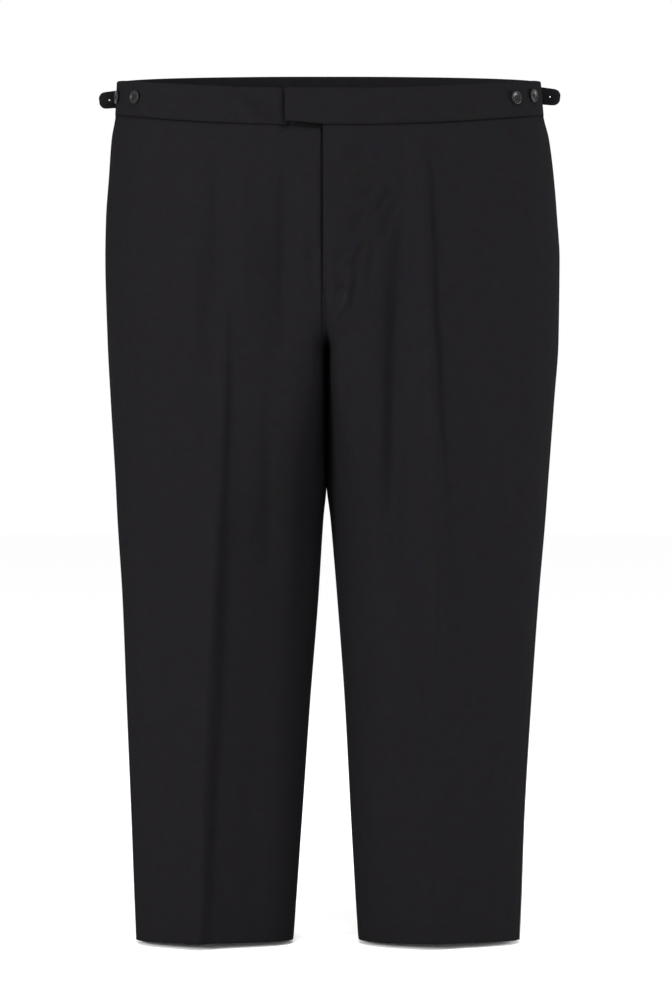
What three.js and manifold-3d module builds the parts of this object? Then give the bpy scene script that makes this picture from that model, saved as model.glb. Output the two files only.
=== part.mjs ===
import * as THREE from "three";
import Module from "manifold-3d";

// Dress trousers, filled out as if worn. Millimetres, +Z up, the front faces -Y and +X is the
// wearer's left. The origin is the middle of the waist opening, half way up the waistband.
// The cloth lies on level sections. Each half of a section is a front and a back quarter, and a
// quarter is two curves: from the centre or inseam to the crease, and on to the side seam.
// Distances across are measured from the middle plane, for either half.

// Thicknesses, and the clearance that stands for a seam.
const CLOTH_THICKNESS = 1.6;
const BAND_THICKNESS = 3.2;
const BRAID_THICKNESS = 0.9;
const TAB_THICKNESS = 2.2;
const SEAM_GAP = 0.3;

// Heights of the main lines, and the depth of the crotch point.
const BAND_TOP = 20;
const BAND_BOTTOM = -20;
const CROTCH_HEIGHT = -297;
const CROTCH_DEPTH = 20;

// The thighs press together from the crotch down to where they part, so that the sections are
// squarer there. Over these heights the two thighs merge into the torso.
const THIGHS_PART = -520;
const FRONT_MERGE = { bottom: -292, top: -246 };
const BACK_MERGE = { bottom: -285, top: -175 };

// The waist rises to the back, and dips in a curve to the front. The front of the hem is raised.
const BACK_RISE = 0.224;
const FRONT_LEAN = 0.06;
const FRONT_DIP = 0.0013;
const WAIST_TILT_END = -200;
const HEM = -982;
const HEM_RISE = 0.07;
const HEM_RISE_START = -922;

// The fly: how far the left front laps over the right one, and the right one under the left.
const FLY_LAP = 3.5;
const FLY_UNDERLAP = 10;
const FLY_END = -220;
const FLY_SEAM_START = -245;
const FLY_LIFT_END = -262;
const FLY_LIFT = CLOTH_THICKNESS + SEAM_GAP;
const EXTRA_COLUMN_SHARE = 0.4;

// The waistband stands proud of the fronts and backs, and its left end laps over the right one.
const BAND_PROUD = 1.4;
const BAND_LAP = 45;
const BAND_UNDERLAP = 12;
const BAND_LIFT = BAND_THICKNESS + SEAM_GAP;
const BAND_END_RISE = 4;
const BAND_DIP = 3.5;
const BAND_DIP_WIDTH = 60;
const BAND_DIP_START = -21;
const BAND_DIP_END = -72;
const BAND_LAP_SHARES = [1, 0.67, 0.33, 0.09];
const BAND_UNDERLAP_SHARES = [1, 0.33];
const FLY_TOP_LIFT = CLOTH_THICKNESS + BAND_PROUD + SEAM_GAP;
const FLY_TOP_LIFT_START = -35;
const FLY_TOP_LIFT_END = -70;
const LIFT_FULL = 17;
const LIFT_GONE = 45;

// The braid down the side seams.
const BRAID_HALF_WIDTH = 11;

// Side adjusters: buttons on the band, and a tab with a keyhole buttonhole.
const BUTTON_RADIUS = 7.5;
const BUTTON_THICKNESS = 3;
const BUTTON_SIDES = 20;
const BUTTON_HOLE_RADIUS = 0.9;
const BUTTON_HOLE_SPACING = 1.7;
const PEG_SIDES = 8;
const PEG_LENGTH = 12;
const BUTTON_PLACES = [
  { name: "right_front", side: -1, across: 217, height: 1.6 },
  { name: "right_side", side: -1, across: 240, height: 1 },
  { name: "left_front", side: 1, across: 215, height: 1.4 },
  { name: "left_side", side: 1, across: 236, height: 2.6 },
];
const BUTTON_PROFILE = [
  { radius: 0.66, height: 0 },
  { radius: 0.96, height: 0.35 },
  { radius: 1, height: 0.62 },
  { radius: 0.92, height: 0.95 },
  { radius: 0.8, height: 1 },
  { radius: 0.64, height: 0.72 },
];
const BUTTON_DISH = 0.66;
const TAB_LENGTHS = { right: 44, left: 51 };
const TAB_ACROSS = 232;
const TAB_SEWN_SHARE = 0.18;
const TAB_LAST_ANGLE = 1.2;
const TAB_WIDTH_SHARES = [1, 0.4, -0.4, -1];
const TAB_KEYHOLE_FROM_TIP = 12;
const TAB_KEYHOLE_RADIUS = 1;
const TAB_HEIGHTS = { right: -1, left: 3 };
const TAB_OUTLINE = [
  { along: 0, half: 10.4 },
  { along: 0.5, half: 10.2 },
  { along: 0.8, half: 9.8 },
  { along: 0.88, half: 9.5 },
  { along: 0.93, half: 8.7 },
  { along: 0.96, half: 7.7 },
  { along: 0.98, half: 6.6 },
  { along: 1, half: 5 },
];

// Outline from the front: distance from the middle plane of the outer edge and, below the
// crotch, of the inseam, for the wearer's right and left leg.
const OUTLINE = [
  { z: 20, outerRight: 243.5, outerLeft: 249, innerRight: 0.15, innerLeft: 0.15 },
  { z: -20, outerRight: 245.5, outerLeft: 252.5, innerRight: 0.15, innerLeft: 0.15 },
  { z: -47, outerRight: 250, outerLeft: 259, innerRight: 0.15, innerLeft: 0.15 },
  { z: -93, outerRight: 253.5, outerLeft: 265, innerRight: 0.15, innerLeft: 0.15 },
  { z: -140, outerRight: 257, outerLeft: 269, innerRight: 0.15, innerLeft: 0.15 },
  { z: -187, outerRight: 258, outerLeft: 272, innerRight: 0.15, innerLeft: 0.15 },
  { z: -281, outerRight: 255.6, outerLeft: 271, innerRight: 0.15, innerLeft: 0.15 },
  { z: -351, outerRight: 252, outerLeft: 266, innerRight: 0.15, innerLeft: 0.15 },
  { z: -445, outerRight: 246.3, outerLeft: 259, innerRight: 0.2, innerLeft: 0.2 },
  { z: -491, outerRight: 244, outerLeft: 255.6, innerRight: 4, innerLeft: 5 },
  { z: -585, outerRight: 238, outerLeft: 247.5, innerRight: 10, innerLeft: 13 },
  { z: -702, outerRight: 233.4, outerLeft: 239.3, innerRight: 19.3, innerLeft: 21.6 },
  { z: -842, outerRight: 227.6, outerLeft: 231, innerRight: 29, innerLeft: 29 },
  { z: -936, outerRight: 224, outerLeft: 227.6, innerRight: 35.7, innerLeft: 34.5 },
  { z: -982, outerRight: 222, outerLeft: 225.5, innerRight: 39, innerLeft: 37.5 },
];

// Depths of the creases and the side seam, to the front (minus) and to the back.
const DEPTHS = [
  { z: 20, frontCrease: -108, seam: 0, backCrease: 108 },
  { z: -20, frontCrease: -114, seam: 0, backCrease: 114 },
  { z: -110, frontCrease: -121, seam: 4, backCrease: 128 },
  { z: -180, frontCrease: -121, seam: 7, backCrease: 136 },
  { z: -235, frontCrease: -118, seam: 9, backCrease: 135 },
  { z: -297, frontCrease: -115, seam: 10, backCrease: 124 },
  { z: -351, frontCrease: -110, seam: 10, backCrease: 115 },
  { z: -445, frontCrease: -98, seam: 9, backCrease: 101 },
  { z: -585, frontCrease: -80, seam: 7, backCrease: 85 },
  { z: -702, frontCrease: -70, seam: 6, backCrease: 77 },
  { z: -842, frontCrease: -63, seam: 5, backCrease: 71 },
  { z: -982, frontCrease: -59, seam: 4, backCrease: 66 },
];

// Depths of the centre front and centre back where the two thighs have merged.
const MIDDLE_DEPTHS = [
  { z: 20, front: -118, back: 118 },
  { z: -20, front: -124, back: 123 },
  { z: -110, front: -129, back: 136 },
  { z: -180, front: -125, back: 143 },
  { z: -235, front: -119.5, back: 142 },
  { z: -297, front: -114, back: 134 },
  { z: -330, front: -114, back: 132 },
];

// Depth of the inseam below the crotch.
const INSEAM_DEPTHS = [
  { z: -297, inseam: CROTCH_DEPTH },
  { z: -445, inseam: 12 },
  { z: -700, inseam: 6 },
  { z: -982, inseam: 4 },
];

// How far each thigh would reach past the middle plane, if the other one were not there.
const REACHES = [
  { z: -175, front: 100, back: 110 },
  { z: -226, front: 70, back: 62 },
  { z: -245, front: 40, back: 38 },
  { z: -262, front: 22, back: 22 },
  { z: -275, front: 10, back: 11 },
  { z: -285, front: 4, back: 5 },
  { z: -292, front: 1.2, back: 1.5 },
  { z: -297, front: 0, back: 0 },
];

// Creases: distance from the middle plane, and the slope of the cloth on each side of the ridge.
const CREASES = [
  { z: 20, right: 112, left: 112, ridgeRight: 0, ridgeLeft: 0, lean: 0.2 },
  { z: -60, right: 113, left: 113, ridgeRight: 0, ridgeLeft: 0.08, lean: 0.14 },
  { z: -190, right: 114, left: 115, ridgeRight: 0.02, ridgeLeft: 0.12, lean: 0.08 },
  { z: -300, right: 115, left: 117, ridgeRight: 0.04, ridgeLeft: 0.12, lean: 0.02 },
  { z: -445, right: 123, left: 122, ridgeRight: 0.24, ridgeLeft: 0.18, lean: 0 },
  { z: -585, right: 130, left: 124, ridgeRight: 0.38, ridgeLeft: 0.32, lean: 0 },
  { z: -780, right: 140, left: 123, ridgeRight: 0.48, ridgeLeft: 0.46, lean: 0 },
  { z: -982, right: 145, left: 123, ridgeRight: 0.52, ridgeLeft: 0.5, lean: 0 },
];

// Soft folds: troughs pressed into the cloth, fading at both ends.
const FOLDS = [
  { side: -1, face: "front", top: -90, bottom: -350, topX: 54, bottomX: 56, width: 13, depth: 3.2 },
  { side: -1, face: "front", top: -50, bottom: -400, topX: 128, bottomX: 142, width: 11, depth: 2.6 },
  { side: 1, face: "front", top: -60, bottom: -640, topX: 76, bottomX: 80, width: 12, depth: 3.2 },
  { side: 1, face: "front", top: -30, bottom: -560, topX: 104, bottomX: 134, width: 7, depth: 2.4 },
  { side: -1, face: "back", top: -170, bottom: -520, topX: 60, bottomX: 84, width: 14, depth: 4 },
  { side: -1, face: "back", top: -230, bottom: -610, topX: 168, bottomX: 160, width: 13, depth: 3.2 },
  { side: 1, face: "back", top: -190, bottom: -560, topX: 70, bottomX: 90, width: 15, depth: 4 },
  { side: 1, face: "back", top: -250, bottom: -500, topX: 176, bottomX: 170, width: 12, depth: 2.8 },
];

// Heights of the rows of the legs, from the waist seam to the hem.
const ROWS = [
  BAND_BOTTOM - SEAM_GAP,
  -44,
  -72,
  -108,
  -150,
  -186,
  FLY_END,
  FLY_SEAM_START,
  FLY_LIFT_END,
  -274,
  -284,
  -291,
  -295.5,
  CROTCH_HEIGHT,
  -306,
  -328,
  -364,
  -404,
  -445,
  -491,
  -538,
  -585,
  -640,
  -700,
  -760,
  -820,
  -880,
  -936,
  -982,
];

// Columns: distances from the crease towards the centre, and shares of the way from the crease
// to the edge of the braid.
const CREASE_STEPS = [112, 102, 90, 74, 55, 36, 17, 0];
const SIDE_SHARES = [0.2, 0.38, 0.54, 0.68, 0.8, 0.9, 1];

const CURVE_STEPS = 24;
const HALVINGS = 30;

// Handle lengths of the section curves, as shares of the span that they run along, and how far
// the sections turn into square ones where the thighs press together.
const HANDLES = {
  torsoAcross: 0.42,
  torsoInward: 0.46,
  creaseOutward: 0.5,
  sideSeam: 0.6,
  thighDepth: 0.56,
  thighInward: 0.46,
};
const SQUARENESS = 0.88;

function smooth(from, to, value) {
  const t = THREE.MathUtils.clamp((value - from) / (to - from), 0, 1);
  return t * t * (3 - 2 * t);
}

// Smooth value of a column of a table at a height; it never runs past the rows it lies between.
function valueAt(table, column, z) {
  const last = table.length - 1;
  if (z >= table[0].z) {
    return table[0][column];
  }
  if (z <= table[last].z) {
    return table[last][column];
  }
  const next = table.findIndex((row) => row.z < z);
  const secant = (i) => (table[i + 1][column] - table[i][column]) / (table[i + 1].z - table[i].z);
  const slope = (i) => {
    if (i === 0 || i === last) {
      return secant(Math.min(i, last - 1));
    }
    const before = secant(i - 1);
    const after = secant(i);
    return before * after <= 0 ? 0 : (2 * before * after) / (before + after);
  };
  const start = table[next - 1];
  const end = table[next];
  const span = end.z - start.z;
  const t = (z - start.z) / span;
  const rise = end[column] - start[column];
  const first = slope(next - 1) * span;
  const second = slope(next) * span;
  const bend = (first + second - 2 * rise) * t + (3 * rise - 2 * first - second);
  return start[column] + t * (first + t * bend);
}

// One quarter of a section, from the centre or inseam over the crease to the side seam, as two
// curves. facing is -1 for the front and 1 for the back; x is the distance from the middle plane.
function quarterSection(side, z, facing) {
  const right = side < 0;
  const outer = valueAt(OUTLINE, right ? "outerRight" : "outerLeft", z);
  const creaseX = valueAt(CREASES, right ? "right" : "left", z);
  const ridge = Math.atan(valueAt(CREASES, right ? "ridgeRight" : "ridgeLeft", z));
  const lean = valueAt(CREASES, "lean", z);
  const seamY = valueAt(DEPTHS, "seam", z) + (facing * SEAM_GAP) / 2;
  const crease = new THREE.Vector2(creaseX, valueAt(DEPTHS, facing < 0 ? "frontCrease" : "backCrease", z));
  const after = HANDLES.creaseOutward * (outer - creaseX);
  const sideways = HANDLES.sideSeam * Math.abs(crease.y - seamY);
  const outward = new THREE.Vector2(Math.cos(ridge + lean), -facing * Math.sin(ridge + lean));
  const inward = new THREE.Vector2(-Math.cos(ridge - lean), -facing * Math.sin(ridge - lean));
  const outerControls = [
    crease,
    crease.clone().addScaledVector(outward, after),
    new THREE.Vector2(outer, seamY + facing * sideways),
    new THREE.Vector2(outer, seamY),
  ];
  return [measured(innerControls(side, z, facing, crease, inward)), measured(outerControls)];
}

// Control points of the curve from the centre or inseam to the crease. Up to the crotch it is the
// inner side of a thigh. Above, it is what shows of that thigh on its own side of the middle plane,
// and it turns into the flatter curve of the torso.
function innerControls(side, z, facing, crease, inward) {
  const front = facing < 0;
  const inner = valueAt(OUTLINE, side < 0 ? "innerRight" : "innerLeft", z);
  const start = new THREE.Vector2(inner - valueAt(REACHES, front ? "front" : "back", z), 0);
  start.y = valueAt(INSEAM_DEPTHS, "inseam", z) + (facing * SEAM_GAP) / 2;
  const forward = HANDLES.thighDepth * Math.abs(crease.y - start.y);
  const round = withFivePoints([
    start,
    new THREE.Vector2(start.x, start.y + facing * forward),
    crease.clone().addScaledVector(inward, HANDLES.thighInward * (crease.x - start.x)),
    crease,
  ]);
  const corner = new THREE.Vector2(start.x, crease.y);
  const square = [start, corner, corner, corner, crease];
  const full = SQUARENESS * smooth(THIGHS_PART, CROTCH_HEIGHT, z);
  const thigh = pastDistance(round.map((point, i) => point.clone().lerp(square[i], full)), inner);
  const middle = valueAt(MIDDLE_DEPTHS, front ? "front" : "back", z);
  const torso = withFivePoints([
    new THREE.Vector2(inner, middle),
    new THREE.Vector2(inner + HANDLES.torsoAcross * (crease.x - inner), middle),
    crease.clone().addScaledVector(inward, HANDLES.torsoInward * (crease.x - inner)),
    crease,
  ]);
  const merge = front ? FRONT_MERGE : BACK_MERGE;
  const merged = smooth(merge.bottom, merge.top, z);
  return thigh.map((point, i) => point.clone().lerp(torso[i], merged));
}

// The same cubic curve with five control points in place of four.
function withFivePoints([a, b, c, d]) {
  return [a, a.clone().lerp(b, 0.75), b.clone().lerp(c, 0.5), c.clone().lerp(d, 0.25), d];
}

// Point of a Bezier curve.
function pointOn(controls, t) {
  let level = controls;
  while (level.length > 1) {
    level = level.slice(1).map((point, i) => level[i].clone().lerp(point, t));
  }
  return level[0];
}

// Control points of the part of a curve that lies past a distance across.
function pastDistance(controls, across) {
  let [low, high] = [0, 1];
  for (let i = 0; i < HALVINGS; i += 1) {
    const half = (low + high) / 2;
    [low, high] = pointOn(controls, half).x < across ? [half, high] : [low, half];
  }
  return controls.map((unused, i) => pointOn(controls.slice(i), low));
}

// A curve with its length and first direction, and a way to find the point at a distance along it.
function measured(controls) {
  const points = Array.from({ length: CURVE_STEPS + 1 }, (unused, i) => pointOn(controls, i / CURVE_STEPS));
  const lengths = [0];
  for (let i = 1; i < points.length; i += 1) {
    lengths.push(lengths[i - 1] + points[i].distanceTo(points[i - 1]));
  }
  const length = lengths[CURVE_STEPS];
  const pointAt = (distance) => {
    const wanted = THREE.MathUtils.clamp(distance, 0, length);
    const next = Math.max(1, lengths.findIndex((value) => value >= wanted));
    const share = (wanted - lengths[next - 1]) / (lengths[next] - lengths[next - 1]);
    return pointOn(controls, (next - 1 + share) / CURVE_STEPS);
  };
  return { length, pointAt, along: controls[1].clone().sub(controls[0]).normalize() };
}

// How far a place on the waist or the hem is raised, by its depth.
function riseAt(z, y) {
  const waist = y * (y > 0 ? BACK_RISE : FRONT_LEAN - FRONT_DIP * y);
  const hem = HEM_RISE * Math.max(0, -y) * (1 - smooth(HEM, HEM_RISE_START, z));
  return waist * smooth(WAIST_TILT_END, BAND_BOTTOM, z) + hem;
}

// Depth of the soft folds at a place on the front or back of one half.
function foldDepth(side, facing, x, z) {
  const face = facing < 0 ? "front" : "back";
  return FOLDS.filter((fold) => fold.side === side && fold.face === face).reduce((sum, fold) => {
    const along = (fold.top - z) / (fold.top - fold.bottom);
    if (along <= 0 || along >= 1) {
      return sum;
    }
    const away = (x - (fold.topX + (fold.bottomX - fold.topX) * along)) / fold.width;
    return sum + fold.depth * Math.sin(Math.PI * along) * Math.exp(-away * away);
  }, 0);
}

// Point of the garment on one half, at a distance along a quarter section from its centre line.
// lift moves it forward, and drop lowers it.
function clothPoint(side, facing, quarter, z, distance, lift = 0, drop = 0) {
  const [innerCurve, outerCurve] = quarter;
  const flat =
    distance <= innerCurve.length
      ? innerCurve.pointAt(distance)
      : outerCurve.pointAt(distance - innerCurve.length);
  const y = flat.y - facing * foldDepth(side, facing, flat.x, z) - lift;
  return new THREE.Vector3(side * flat.x, y, z - drop + riseAt(z, flat.y));
}

// Distances of the columns of a quarter from the centre or inseam to the side seam.
function columnDistances(quarter) {
  const [innerCurve, outerCurve] = quarter;
  const crease = innerCurve.length;
  const braid = crease + outerCurve.length - BRAID_HALF_WIDTH;
  const rest = crease - CREASE_STEPS[0];
  const toCrease = CREASE_STEPS.map((step) => crease - step);
  const toBraid = SIDE_SHARES.map((share) => crease + (braid - crease) * share);
  return [0, rest / 2, ...toCrease, ...toBraid, crease + outerCurve.length];
}

// How far a place near the centre front is lifted, as a share of the full lift.
function liftShare(distance) {
  return 1 - smooth(LIFT_FULL, LIFT_GONE, distance);
}

// The left front is lifted over the right one along the fly.
function flyLift(side, z) {
  if (side < 0) {
    return 0;
  }
  const extra = (FLY_TOP_LIFT - FLY_LIFT) * smooth(FLY_TOP_LIFT_END, FLY_TOP_LIFT_START, z);
  return (FLY_LIFT + extra) * smooth(FLY_LIFT_END, FLY_SEAM_START, z);
}

// The right band and the top of the right front hang lower beside the fly.
function bandDip(side, distance, z) {
  if (side > 0) {
    return 0;
  }
  const near = 1 - smooth(0, BAND_DIP_WIDTH, distance);
  return BAND_DIP * near * smooth(BAND_DIP_END, BAND_DIP_START, z);
}

// Points round one half at a height, from the centre front to the centre back.
function ringOfPoints(side, quarters, z, lift) {
  const front = columnDistances(quarters.front).map((distance) => {
    const drop = bandDip(side, distance, z);
    return clothPoint(side, -1, quarters.front, z, distance, lift * liftShare(distance), drop);
  });
  const back = columnDistances(quarters.back).map((distance) =>
    clothPoint(side, 1, quarters.back, z, distance),
  );
  return [...front, ...back.reverse()];
}

// Rows of points of one half of the legs, with the direction that the cloth faces at each point.
function halfGrid(side) {
  const quarters = ROWS.map((z) => {
    return { front: quarterSection(side, z, -1), back: quarterSection(side, z, 1) };
  });
  const rows = ROWS.map((z, r) => ringOfPoints(side, quarters[r], z, flyLift(side, z)));
  const normals = rows.map((row, r) => row.map((unused, c) => facingAt(rows, r, c, side)));
  normals.forEach((row, r) => {
    row[0] = centreFacing(side, -1, quarters[r].front);
    row[row.length - 1] = centreFacing(side, 1, quarters[r].back);
  });
  return { rows, normals };
}

// Direction that the cloth faces beside the centre front or centre back, or on the inseam.
function centreFacing(side, facing, quarter) {
  const { x, y } = quarter[0].along;
  return new THREE.Vector3(-side * Math.abs(y), facing * Math.abs(x), 0);
}

// Direction that a grid of cloth faces at one of its points; level at the top and the hem.
function facingAt(rows, r, c, side) {
  const sum = new THREE.Vector3();
  const corners = [[-1, -1], [-1, 1], [1, 1], [1, -1]];
  for (const [dr, dc] of corners) {
    if (!rows[r + dr] || !rows[r][c + dc]) {
      continue;
    }
    const down = rows[r + dr][c].clone().sub(rows[r][c]);
    const along = rows[r][c + dc].clone().sub(rows[r][c]);
    const across = new THREE.Vector3().crossVectors(along, down).multiplyScalar(dr * dc);
    if (across.lengthSq() > 0) {
      sum.add(across.normalize());
    }
  }
  if (r === 0 || r === rows.length - 1) {
    sum.z = 0;
  }
  return sum.normalize().multiplyScalar(-side);
}

function moved(points, normals, distance) {
  return points.map((row, r) => row.map((p, c) => p.clone().addScaledVector(normals[r][c], distance)));
}

// A closed solid between two grids of points with the same rows and columns.
function shell(outer, inner) {
  const rows = outer.length;
  const columns = outer[0].length;
  const positions = [...outer.flat(), ...inner.flat()].flatMap((p) => [p.x, p.y, p.z]);
  const index = [];
  const front = (r, c) => r * columns + c;
  const rear = (r, c) => rows * columns + front(r, c);
  const quad = (a, b, c, d) => index.push(a, b, c, a, c, d);
  for (let r = 0; r + 1 < rows; r += 1) {
    for (let c = 0; c + 1 < columns; c += 1) {
      quad(front(r, c), front(r, c + 1), front(r + 1, c + 1), front(r + 1, c));
      quad(rear(r, c), rear(r + 1, c), rear(r + 1, c + 1), rear(r, c + 1));
    }
  }
  for (let c = 0; c + 1 < columns; c += 1) {
    quad(front(0, c), rear(0, c), rear(0, c + 1), front(0, c + 1));
    quad(front(rows - 1, c), front(rows - 1, c + 1), rear(rows - 1, c + 1), rear(rows - 1, c));
  }
  for (let r = 0; r + 1 < rows; r += 1) {
    quad(front(r, 0), front(r + 1, 0), rear(r + 1, 0), rear(r, 0));
    quad(front(r, columns - 1), rear(r, columns - 1), rear(r + 1, columns - 1), front(r + 1, columns - 1));
  }
  return faceOutward(positions, index);
}

// Geometry whose triangles face out of the solid.
function faceOutward(positions, index) {
  const at = (i) => new THREE.Vector3(positions[3 * i], positions[3 * i + 1], positions[3 * i + 2]);
  let volume = 0;
  for (let i = 0; i < index.length; i += 3) {
    volume += at(index[i]).dot(at(index[i + 1]).cross(at(index[i + 2])));
  }
  const ordered = volume > 0 ? index : [...index].reverse();
  const geometry = new THREE.BufferGeometry();
  geometry.setAttribute("position", new THREE.Float32BufferAttribute(positions, 3));
  geometry.setIndex(ordered);
  return geometry;
}

// Keeps the inner face of a panel on its own side of the middle plane.
function ownSide(points, side) {
  const keep = (p) => new THREE.Vector3(side * Math.max(side * p.x, SEAM_GAP / 2), p.y, p.z);
  return points.map((row) => row.map(keep));
}

// Grid of a front leg with one more column: the edge of the fly, or a step below it.
function withFlyLap(side, points, normals) {
  const lap = side > 0 ? FLY_LAP : FLY_UNDERLAP;
  const added = points.map((row, r) => {
    const z = ROWS[r];
    const normal = normals[r];
    if (z <= FLY_SEAM_START) {
      const between = row[0].clone().lerp(row[1], EXTRA_COLUMN_SHARE);
      return { points: [row[0], between, ...row.slice(1)], normals: [normal[0], ...normal] };
    }
    const other = quarterSection(-side, z, -1);
    const edge = clothPoint(-side, -1, other, z, lap, flyLift(side, z), bandDip(side, 0, z));
    const forward = new THREE.Vector3(0, normal[0].y, normal[0].z).normalize();
    return { points: [edge, ...row], normals: [forward, forward, ...normal.slice(1)] };
  });
  return { points: added.map((row) => row.points), normals: added.map((row) => row.normals) };
}

function frontLeg(side, grid) {
  const count = grid.rows[0].length / 2;
  const half = grid.rows.map((row) => row.slice(0, count));
  const facing = grid.normals.map((row) => row.slice(0, count));
  const { points, normals } = withFlyLap(side, half, facing);
  return shell(points, moved(points, normals, -CLOTH_THICKNESS));
}

function backLeg(side, grid) {
  const count = grid.rows[0].length / 2;
  const half = grid.rows.map((row) => row.slice(count));
  const facing = grid.normals.map((row) => row.slice(count));
  return shell(half, ownSide(moved(half, facing, -CLOTH_THICKNESS), side));
}

// The braid lies on the four columns beside the side seam, moved out by the clearance.
function sideBraid(grid) {
  const middle = grid.rows[0].length / 2;
  const points = grid.rows.map((row) => row.slice(middle - 2, middle + 2));
  const facing = grid.normals.map((row) => row.slice(middle - 2, middle + 2));
  const inner = moved(points, facing, SEAM_GAP);
  const outer = moved(points, facing, SEAM_GAP + BRAID_THICKNESS);
  return shell(outer, inner);
}

// Points and directions of one half of the waistband. Its columns are those of the legs.
function bandGrid(side) {
  const points = [BAND_TOP, 0, BAND_BOTTOM].map((z) => bandRow(side, z));
  const normals = points.map((row) => row.map((unused, i) => levelNormal(row, i, side)));
  return { points, normals, outer: moved(points, normals, BAND_PROUD) };
}

function waistband({ points, normals, outer }) {
  return shell(outer, moved(points, normals, BAND_PROUD - BAND_THICKNESS));
}

function bandRow(side, z) {
  const own = { front: quarterSection(side, z, -1), back: quarterSection(side, z, 1) };
  const other = quarterSection(-side, z, -1);
  const lift = side > 0 ? BAND_LIFT : 0;
  const foot = smooth(BAND_TOP, BAND_BOTTOM, z);
  const length = side > 0 ? BAND_LAP : BAND_UNDERLAP;
  const lap = (side > 0 ? BAND_LAP_SHARES : BAND_UNDERLAP_SHARES).map((share) => {
    const rise = side > 0 ? BAND_END_RISE * share * foot : 0;
    return clothPoint(-side, -1, other, z, share * length, lift, bandDip(side, 0, z) - rise);
  });
  return [...lap, ...ringOfPoints(side, own, z, lift)];
}

// Level direction square to a line of points, facing out of the garment.
function levelNormal(line, i, side) {
  const before = line[Math.max(i - 1, 0)];
  const after = line[Math.min(i + 1, line.length - 1)];
  const along = after.clone().sub(before);
  return new THREE.Vector3(along.y * side, -along.x * side, 0).normalize();
}

// A seat on a flat facet of the upper half of the waistband, at a distance from the middle plane:
// the point, the way the facet faces, and the level direction along it towards the side seam.
function seatOnBand(band, side, facing, across, height) {
  const [top, low] = band.outer;
  const distances = low.map((p) => side * p.x);
  const seam = distances.indexOf(Math.max(...distances));
  const column = distances.findIndex((distance, i) => {
    const onFace = facing < 0 ? i < seam : i >= seam;
    return onFace && (distance - across) * (distances[i + 1] - across) <= 0;
  });
  const share = (across - distances[column]) / (distances[column + 1] - distances[column]);
  const base = low[column].clone().lerp(low[column + 1], share);
  const above = top[column].clone().lerp(top[column + 1], share);
  const point = base.clone().lerp(above, height / BAND_TOP);
  const along = low[column + 1].clone().sub(low[column]).normalize();
  const out = new THREE.Vector3().crossVectors(along, above.clone().sub(base)).normalize();
  return { point, out: out.multiplyScalar(side), along: along.multiplyScalar(-facing) };
}

const wasm = await Module();
wasm.setup();

// Cuts tools out of a closed solid.
function cut(geometry, tools) {
  const solid = toManifold(geometry);
  const parts = tools.map(toManifold);
  const result = solid.subtract(wasm.Manifold.union(parts)).getMesh();
  const carved = new THREE.BufferGeometry();
  carved.setAttribute("position", new THREE.Float32BufferAttribute(result.vertProperties, 3));
  carved.setIndex([...result.triVerts]);
  return carved;
}

function toManifold(geometry) {
  const mesh = new wasm.Mesh({
    numProp: 3,
    vertProperties: new Float32Array(geometry.attributes.position.array),
    triVerts: new Uint32Array(geometry.index.array),
  });
  mesh.merge();
  return new wasm.Manifold(mesh);
}

// A round peg along Z, used to cut holes.
function peg(radius, x = 0, y = 0) {
  const geometry = new THREE.CylinderGeometry(radius, radius, PEG_LENGTH, PEG_SIDES).toNonIndexed();
  geometry.rotateX(Math.PI / 2);
  geometry.translate(x, y, 0);
  const positions = [...geometry.attributes.position.array];
  return faceOutward(positions, positions.filter((unused, i) => i % 3 === 0).map((unused, i) => i));
}

// A dished button with a raised rim and four holes, its axis along Z and its back at zero.
function buttonShape() {
  const positions = [0, 0, 0];
  for (const { radius, height } of BUTTON_PROFILE) {
    for (let i = 0; i < BUTTON_SIDES; i += 1) {
      const angle = (2 * Math.PI * i) / BUTTON_SIDES;
      const reach = radius * BUTTON_RADIUS;
      positions.push(reach * Math.cos(angle), reach * Math.sin(angle), height * BUTTON_THICKNESS);
    }
  }
  positions.push(0, 0, BUTTON_DISH * BUTTON_THICKNESS);
  const rings = BUTTON_PROFILE.length;
  const at = (ring, i) => 1 + ring * BUTTON_SIDES + (i % BUTTON_SIDES);
  const index = [];
  for (let i = 0; i < BUTTON_SIDES; i += 1) {
    index.push(0, at(0, i + 1), at(0, i));
    for (let ring = 0; ring + 1 < rings; ring += 1) {
      const [a, b, c, d] = [at(ring, i), at(ring, i + 1), at(ring + 1, i + 1), at(ring + 1, i)];
      index.push(a, b, c, a, c, d);
    }
    index.push(at(rings - 1, i), at(rings - 1, i + 1), 1 + rings * BUTTON_SIDES);
  }
  const holes = [-1, 1].flatMap((x) =>
    [-1, 1].map((y) => peg(BUTTON_HOLE_RADIUS, x * BUTTON_HOLE_SPACING, y * BUTTON_HOLE_SPACING)),
  );
  return cut(faceOutward(positions, index), holes);
}

function buttonAt(place, band) {
  const { point, out } = seatOnBand(band, place.side, -1, place.across, place.height);
  const turn = new THREE.Quaternion().setFromUnitVectors(new THREE.Vector3(0, 0, 1), out);
  const geometry = buttonShape().applyQuaternion(turn);
  const seat = point.addScaledVector(out, SEAM_GAP);
  return geometry.translate(seat.x, seat.y, seat.z);
}

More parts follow.
